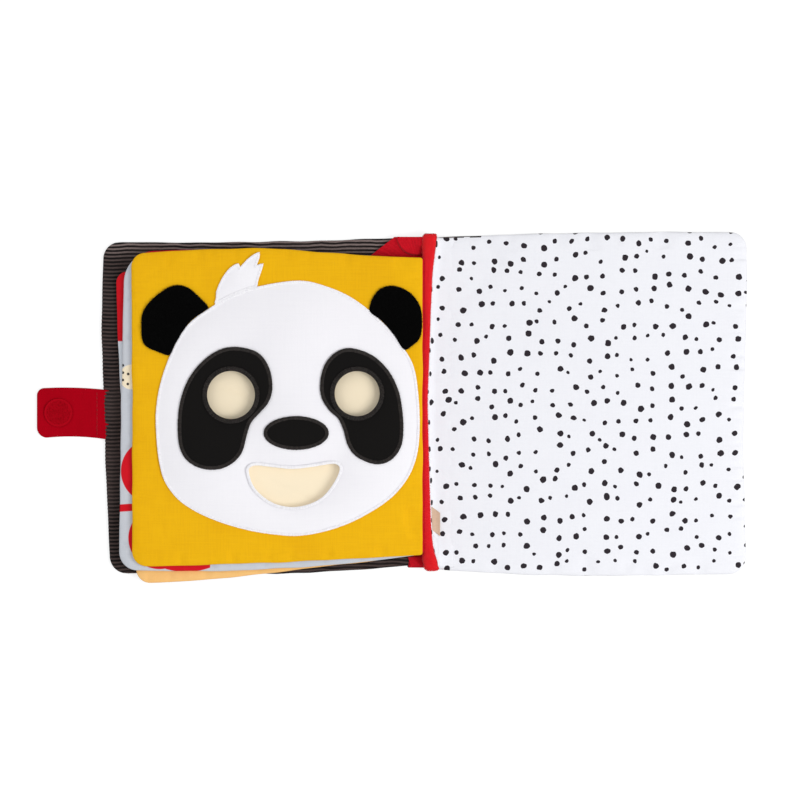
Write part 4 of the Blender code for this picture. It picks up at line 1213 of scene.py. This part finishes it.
lumps = Waves(41, (0.0131, 0.0061, 0.0037, 0.0023))
rings = []
for y in np.concatenate((np.linspace(-0.1000, -0.085, 24), np.linspace(-0.0843, 0.0775, 230),
                         np.linspace(0.078, 0.1020, 30))):
    left, right, low, high = (ridge_at(y, column) for column in (1, 2, 3, 4))
    ring = []
    for n in range(24):
        angle = math.tau * n / 24
        across = math.copysign(abs(math.cos(angle)) ** 0.85, math.cos(angle))
        up = math.copysign(abs(math.sin(angle)) ** 0.85, math.sin(angle))
        swell = 1 + 0.06 * float(lumps(y + 0.0031 * n))
        ring.append(((left + right) / 2 + (right - left) / 2 * across * swell, y,
                     (low + high) / 2 + (high - low) / 2 * up * min(swell, 1.0)))
    rings.append(ring)
ridge = loft_rings("spine_ridge", rings, red_felt)
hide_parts("spine_binding")
ridge_pile = grow_pile("spine_ridge_pile", ridge, 5.0e6, 0.0008, 0.00008, 1.15, red_pile, 4)
for piece in (ridge, ridge_pile):
    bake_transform(piece)

# %% [markdown]
# ## Gutters and linings
#
# On the right, the dotted lining sweeps up into the ridge, and its dots run on without a break,
# because its UV map is measured along the cloth. On the left, a red lining drops from the ridge to
# the charcoal cover, and at the head it is gathered into a little fan of pleats.


# %% Gutter cloth
def gutter_height(reach, foot, head, steep=0.0016):
    return foot + (head - foot) * np.exp(-reach / steep)


def open_cloth(name, grid, finish):
    """One sheet over a grid of points, with its right side up."""
    mesh = bpy.data.meshes.new(name)
    quads = grid_quads(*grid.shape[:2])
    middle = quads[len(quads) // 2]
    flat = grid.reshape(-1, 3)
    facing = np.cross(flat[middle[1]] - flat[middle[0]], flat[middle[3]] - flat[middle[0]])
    if facing[2] <= 0:
        quads = quads[:, ::-1]
    mesh.from_pydata(flat.tolist(), [], quads.tolist())
    mesh.shade_smooth()
    mesh.materials.append(finish)
    return add_object(name, mesh)


def dress_sheet(obj, node, slot, body, thickness=0.0004, **facts):
    """Give a sheet its thickness, hide the part it replaces and attach it to its body. The slot and the facts of
    how it lies are not used.
    """
    layer = obj.modifiers.new("cloth_thickness", "SOLIDIFY")
    layer.thickness = thickness
    layer.offset = -1.0
    apply_modifiers(obj)
    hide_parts(node)
    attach(obj, body)
    print(obj.name, "has", len(obj.data.polygons), "faces")


gutter_rows = np.linspace(-0.0984, 0.1000, 120)
reaches = np.concatenate(([0.0, 0.0002, 0.0005, 0.0009, 0.0014, 0.002, 0.0028, 0.0038, 0.005, 0.0065],
                          np.linspace(0.0085, 0.0155, 5)))
gather = Waves(51, (0.021, 0.0123, 0.0068))
grid, cut_across = [], []
for y in gutter_rows:
    start = ridge_at(y, 2) + 0.0003
    ends = 1 - min(1.0, (0.1 - abs(y)) / 0.03)
    row = []
    for reach in reaches:
        share = reach / reaches[-1]
        x = start + (0.0168 - start) * share
        z = float(gutter_height(x - start, cover_high + 0.00012, 0.0092))
        fold = 0.0004 * (0.4 + ends) * float(gather(y + 0.5 * x)) * math.sin(math.pi * min(1, share * 1.6)) ** 2
        sink = 0.00055 * max(0.0, 2 * share - 1) ** 2
        row.append((x, y, z + max(fold, -0.0003) * (share < 0.62) - sink))
    run = [0.0]
    for one, two in zip(row[::-1], row[::-1][1:]):
        run.append(run[-1] + math.dist(one, two))
    grid.append(row)
    cut_across.append([row[-1][0] - length for length in run[::-1]])
gutter = open_cloth("dotted_gutter", np.array(grid), dotted_cotton)
lay_cut(gutter, np.array(cut_across).ravel())
dress_sheet(gutter, "spine_wall_right", "dotted_cotton", "right_cover", flat=(0.0225, 0.1984),
            held="stretched", rests_on=["right_cover", "spine_ridge"])

grid = []
for y in gutter_rows:
    start = max(ridge_at(y, 1), -0.0019) + 0.0006
    row = []
    for share in np.linspace(0, 1, 14):
        x = start - share * (0.0105 + start)
        z = float(gutter_height(start - x, cover_high - 0.0006, 0.0088, 0.0007))
        row.append((x, y, z + 0.0001 * float(gather(2 * y)) * (share > 0.2)))
    grid.append(row)
gusset = open_cloth("red_gusset", np.array(grid), red_lining)
dress_sheet(gusset, "spine_wall_left", "red_cotton", "left_cover", flat=(0.0150, 0.1984),
            held="stretched", rests_on=["left_cover", "spine_ridge"])

# %% Pleated fan
fan_low, fan_crest = cover_high + 0.0004, 0.0088
grid = []
for share in np.linspace(0, 1, 96):
    x = -0.0012 - share * 0.0318
    foot = 0.0875
    top = 0.1004 if x > -0.0190 else 0.1004 - (-0.0190 - x) * 0.0110 / 0.0140
    row = []
    for up in np.linspace(0, 1, 34):
        y = foot + (top - foot) * up
        rise = math.exp(x / 0.010) * max(0.0, min(1.0, (y - 0.0885) / 0.007)) ** 1.5
        reach = math.hypot(x + 0.004, y - 0.082)
        turn = math.degrees(math.atan2(y - 0.082, -0.004 - x))
        saw = (turn / 6.5 + 0.25 * float(gather(0.0006 * turn))) % 1.0
        pleat = 0.0007 * min(1.2, reach / 0.02) * (saw ** 0.7 if saw < 0.8 else (1 - saw) / 0.2)
        lap = max(0.0, 0.0120 - math.hypot(x + 0.006, y - 0.101))
        pleat += 0.0026 * min(1.0, lap / 0.0009) * math.exp(-lap / 0.006)
        pleat *= min(1.0, share * 9 + 0.2) * min(1.0, 8 * (1 - share))
        row.append((x, y, fan_low + (fan_crest - fan_low) * rise + pleat))
    grid.append(row)
fan = open_cloth("pleated_lining", np.array(grid), red_lining)
dress_sheet(fan, "lining_fold_top", "red_cotton", "left_cover", flat=(0.0360, 0.0112), held="gathered",
            rests_on=["left_cover"])

grid = []
for share in np.linspace(0, 1, 18):
    row = []
    for up in np.linspace(0, 1, 12):
        x = -0.0014 - share * (0.0096 - 0.0018 * up)
        y = -0.0918 - 0.0055 * up
        rise = math.exp(x / 0.005) * up
        aside = 0.657 * (x + 0.0097) + 0.754 * (y + 0.0918)
        fold = 0.0009 * math.exp(-(aside / 0.0011) ** 2) * min(1.0, 5 * (1 - share))
        row.append((x, y, fan_low + (0.0062 - fan_low) * rise + fold))
    grid.append(row)
foot_fold = open_cloth("lining_foot_fold", np.array(grid), red_lining)
dress_sheet(foot_fold, "lining_fold_bottom", "red_cotton", "left_cover", flat=(0.0100, 0.0100),
            area=0.00006, held="gathered", rests_on=["left_cover"])

# %% [markdown]
# Under the book, one strip of corduroy joins the covers. It has to wrap round the spine when the
# book closes.

# %% Spine strip
strip_panel = Panel(((0.0112, 0.1000), (-0.0112, 0.1000), (-0.0112, -0.0984), (0.0112, -0.0984)),
                    (0.001,) * 4, (0, 0, 0, 0))
strip_grid = strip_panel.grid(stations(0.0224, 0.0011, (0.0, 0.0004, 0.001)),
                              stations(0.1984, 0.00038, (0.0, 0.0003, 0.0008)))
points = strip_grid.reshape(-1, 2)
count = (points[:, 1] + 0.0005 * np.sin(points[:, 0] / 0.021)) / rib_pitch
over_cover = np.clip((np.abs(points[:, 0]) - 0.0072) / 0.0035, 0, 1)
below = 0.00045 - 0.0005 * (1 - rib_profile(count)) - 0.0003 * over_cover ** 2
above = np.full(len(points), 0.0003) * (1 - over_cover)
strip, rim = join_pad("spine_strip_cloth", strip_grid, above, below, 0.00045, (corduroy, corduroy))
store_points(strip, "rib", np.concatenate((count, count[~rim])))
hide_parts("spine_strip")
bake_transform(strip)
print("Spine strip has", len(strip.data.polygons), "faces")

# %% Page roots
for number in (1, 2, 3):
    root = copy_of_node(f"leaf_{number}_root_tape", f"root_tape_{number}", red_lining)
    edge = root.modifiers.new("worn_edges", "BEVEL")
    edge.width, edge.segments = 0.00015, 2
    apply_modifiers(root)
    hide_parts(f"leaf_{number}_root_tape")
    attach(root, f"leaf_{number}")
    print(root.name, "has", len(root.data.polygons), "faces")

# %% [markdown]
# ## The strap
#
# The red strap folds up over the closed book's edge and grips it with a hook-and-loop coin. It is
# one flat padded strip, built like the pages. It bends twice, so the mesh is cut between the two
# folds into two halves, each closed again.

# %% Strap
strap_low, strap_high = height_of("strap_end")
riser_box, end_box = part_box("strap_riser"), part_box("strap_end")
strap_tip, first_fold, second_fold = end_box[0].x, riser_box[1].x, riser_box[0].x
strap_head, strap_foot = end_box[1].y, end_box[0].y
strap_root = -0.1860
strap_panel = Panel(((strap_root, 0.0078), (strap_tip, 0.0098), (strap_tip, -0.0200), (strap_root, -0.0224)),
                    (0.0003, 0.0045, 0.0062, 0.0003), (0.0010, 0, -0.0016, 0))
strap_length = strap_root - strap_tip
split_x = (first_fold + second_fold) / 2
near_edge = (0.0, 0.0001, 0.0003, 0.0006, 0.001)
across = np.unique(np.round(np.append(stations(strap_length, 0.0009, near_edge),
                                      (strap_root - split_x) / strap_length), 9))
up = stations(strap_head - strap_foot, 0.0009, near_edge)
strap_grid = strap_panel.grid(across, up)
heights, _ = shape_side(strap_panel, strap_grid, (strap_high - strap_low) / 2, 0.0009, 61, 0.00025, 0, ())
strap, rim = join_pad("strap", strap_grid, heights, heights, (strap_low + strap_high) / 2,
                      (strap_red, strap_red))


def half_of(obj, name, keep):
    """Copy of the strap with the faces on one side of the split, closed again by a cap."""
    bm = bmesh.new()
    bm.from_mesh(obj.data)
    lost = [face for face in bm.faces if not keep(face.calc_center_median().x)]
    bmesh.ops.delete(bm, geom=lost, context="FACES")
    open_edges = [edge for edge in bm.edges if len(edge.link_faces) == 1]
    bmesh.ops.edgeloop_fill(bm, edges=open_edges)
    bmesh.ops.recalc_face_normals(bm, faces=bm.faces)
    mesh = mesh_from(name, bm)
    mesh.materials.append(strap_red)
    mesh.shade_smooth()
    mesh.set_sharp_from_angle(angle=math.radians(60))
    made = add_object(name, mesh)
    print(name, "has", len(mesh.polygons), "faces")
    return made


strap_near = half_of(strap, "strap_riser_cloth", lambda x: x > split_x)
strap_far = half_of(strap, "strap_end_cloth", lambda x: x < split_x)
bpy.data.objects.remove(strap)
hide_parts("strap_riser")
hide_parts("strap_end")
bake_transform(strap_near)
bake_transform(strap_far)

# %% [markdown]
# A line of straight stitches holds the strap to the cover. The stitch tree serves again: the
# threads lie along the seam when the guide line is cut into short bits that run across it.


# %% Strap seam
def running_stitches(name, start, end, height, pitch, finish, body):
    """Straight machine stitches along a line: a long arched thread for each, end to end."""
    start, end = np.array(start), np.array(end)
    steps = int(np.linalg.norm(end - start) / pitch)
    along = unit(end - start)
    aside = np.array((-along[1], along[0])) * 0.00005
    points, edges = [], []
    for n in range(steps):
        middle = start + along * pitch * (n + 0.5)
        points += [(*(middle - aside), height), (*(middle + aside), height)]
        edges.append((2 * n, 2 * n + 1))
    line = line_object(name, points, edges)
    run_group(line, stitch_group, {"Spacing": 0.001, "Length": pitch * 0.8, "Thickness": 0.00038,
                                   "Arch": 0.00022, "Seed": 2, "Finish": finish})
    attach(line, body)
    print(name, "has", steps, "stitches")


running_stitches("strap_seam", (-0.1978, strap_foot + 0.0012), (-0.1978, strap_head - 0.0012),
                 strap_high - 0.0001, 0.0024, red_thread, "strap_riser")

# %% [markdown]
# ## Hook-and-loop coins
#
# The strap carries a coin of tiny hooks, and the back of the dotted cover a coin of soft loops. The
# hooks are short, nearly upright fibres that the ears' pile tree scatters over the coin. The loops
# are the same pile as the ears, only shorter and flatter.

# %% Coins
hook_nylon = woven_cotton("hook_nylon", screen_colour(178, 0, 22), screen_colour(152, 0, 14), 0.0007, 0.8, 0.0,
                          specular=0.06)
hook_pile = pile_finish("hook_pile", screen_colour(168, 0, 14), screen_colour(132, 0, 6), 0.02)


def coin(name, node, up, body):
    """Turned disc with a low lip, facing up or down."""
    low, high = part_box(node)
    centre, radius = (low + high) / 2, (high.x - low.x) / 2
    step = 0.00012
    base, top = (low.z, high.z) if up else (high.z, low.z)
    shape = [(radius - step, 0.0), (radius, 0.3), (radius, 0.7), (radius - step, 0.95), (radius - 0.0006, 0.8),
             (radius - 0.0009, 0.85), (radius * 0.5, 0.85), (radius * 0.1, 0.85)]
    rings = [ring_of(centre.x, centre.y, reach, reach, 72) for reach, _ in shape]
    heights = [base + (top - base) * share for _, share in shape]
    obj = loft_rings(name, [[(x, y, z) for x, y in ring] for ring, z in zip(rings, heights)], hook_nylon)
    obj.data.set_sharp_from_angle(angle=math.radians(60))
    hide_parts(node)
    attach(obj, body)
    return centre, radius, top


def coin_face(name, centre, radius, height, up):
    """Round guide surface for what grows on a coin."""
    mesh = bpy.data.meshes.new(name)
    ring = ring_of(centre.x, centre.y, radius, radius, 48)
    mesh.from_pydata([(x, y, height) for x, y in (ring if up else ring[::-1])], [], [list(range(48))])
    return add_object(name, mesh)


for name, coat, node, up, body, inset, lift, length, width, lean_by, seed in (
        ("hook_coin", "hook_bristles", "hook_disc", True, "strap_end", 0.0012, -0.0001, 0.00032, 0.00009, 0.4, 3),
        ("loop_coin", "loop_nap", "loop_disc", False, "right_cover", 0.0008, 0.0002, 0.0002, 0.0001, 1.3, 8)):
    centre, radius, top = coin(name, node, up, body)
    guide = coin_face(f"{name}_guide", centre, radius - inset, top + lift, up)
    grown = grow_pile(coat, guide, 9.0e6, length, width, lean_by, hook_pile, seed)
    bpy.data.objects.remove(guide)
    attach(grown, body)

# %% [markdown]
# ## Labels
#
# Two bare labels are caught in the gutter. They are thin woven tape that follows the slope of the
# dotted lining, with a slight curl along the free edge.


# %% Labels
def label(name, node, finish, slot, slant, longest):
    low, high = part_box(node)
    foot = max(low.y, high.y - longest)
    grid = []
    for up in np.linspace(0, 1, 14):
        y = foot + (high.y - foot) * up
        start = ridge_at(y, 2) + 0.0003
        row = []
        for share in np.linspace(0, 1, 12):
            x = max(low.x, start + 0.0006) + (high.x - max(low.x, start + 0.0006)) * share + 0.0007 * share
            z = float(gutter_height(x - start, cover_high + 0.0004, 0.0094)) + 0.00035
            row.append((x, y - slant * share, z + 0.0005 * share ** 3))
        grid.append(row)
    width, middle = high.y - foot, grid[len(grid) // 2]
    length = sum(math.dist(one, two) for one, two in zip(middle, middle[1:]))
    dress_sheet(open_cloth(name, np.array(grid), finish), node, slot, "right_cover", thickness=0.0003,
                flat=(max(length, 0.01), max(width, 0.01)), area=length * width, held="laid",
                rests_on=["dotted_gutter"])


label("beige_label", "woven_label", label_beige, "woven_label", 0.0038, 0.0141)
label("white_label", "care_label", white_cotton, "white_cotton", 0.0034, 0.02)
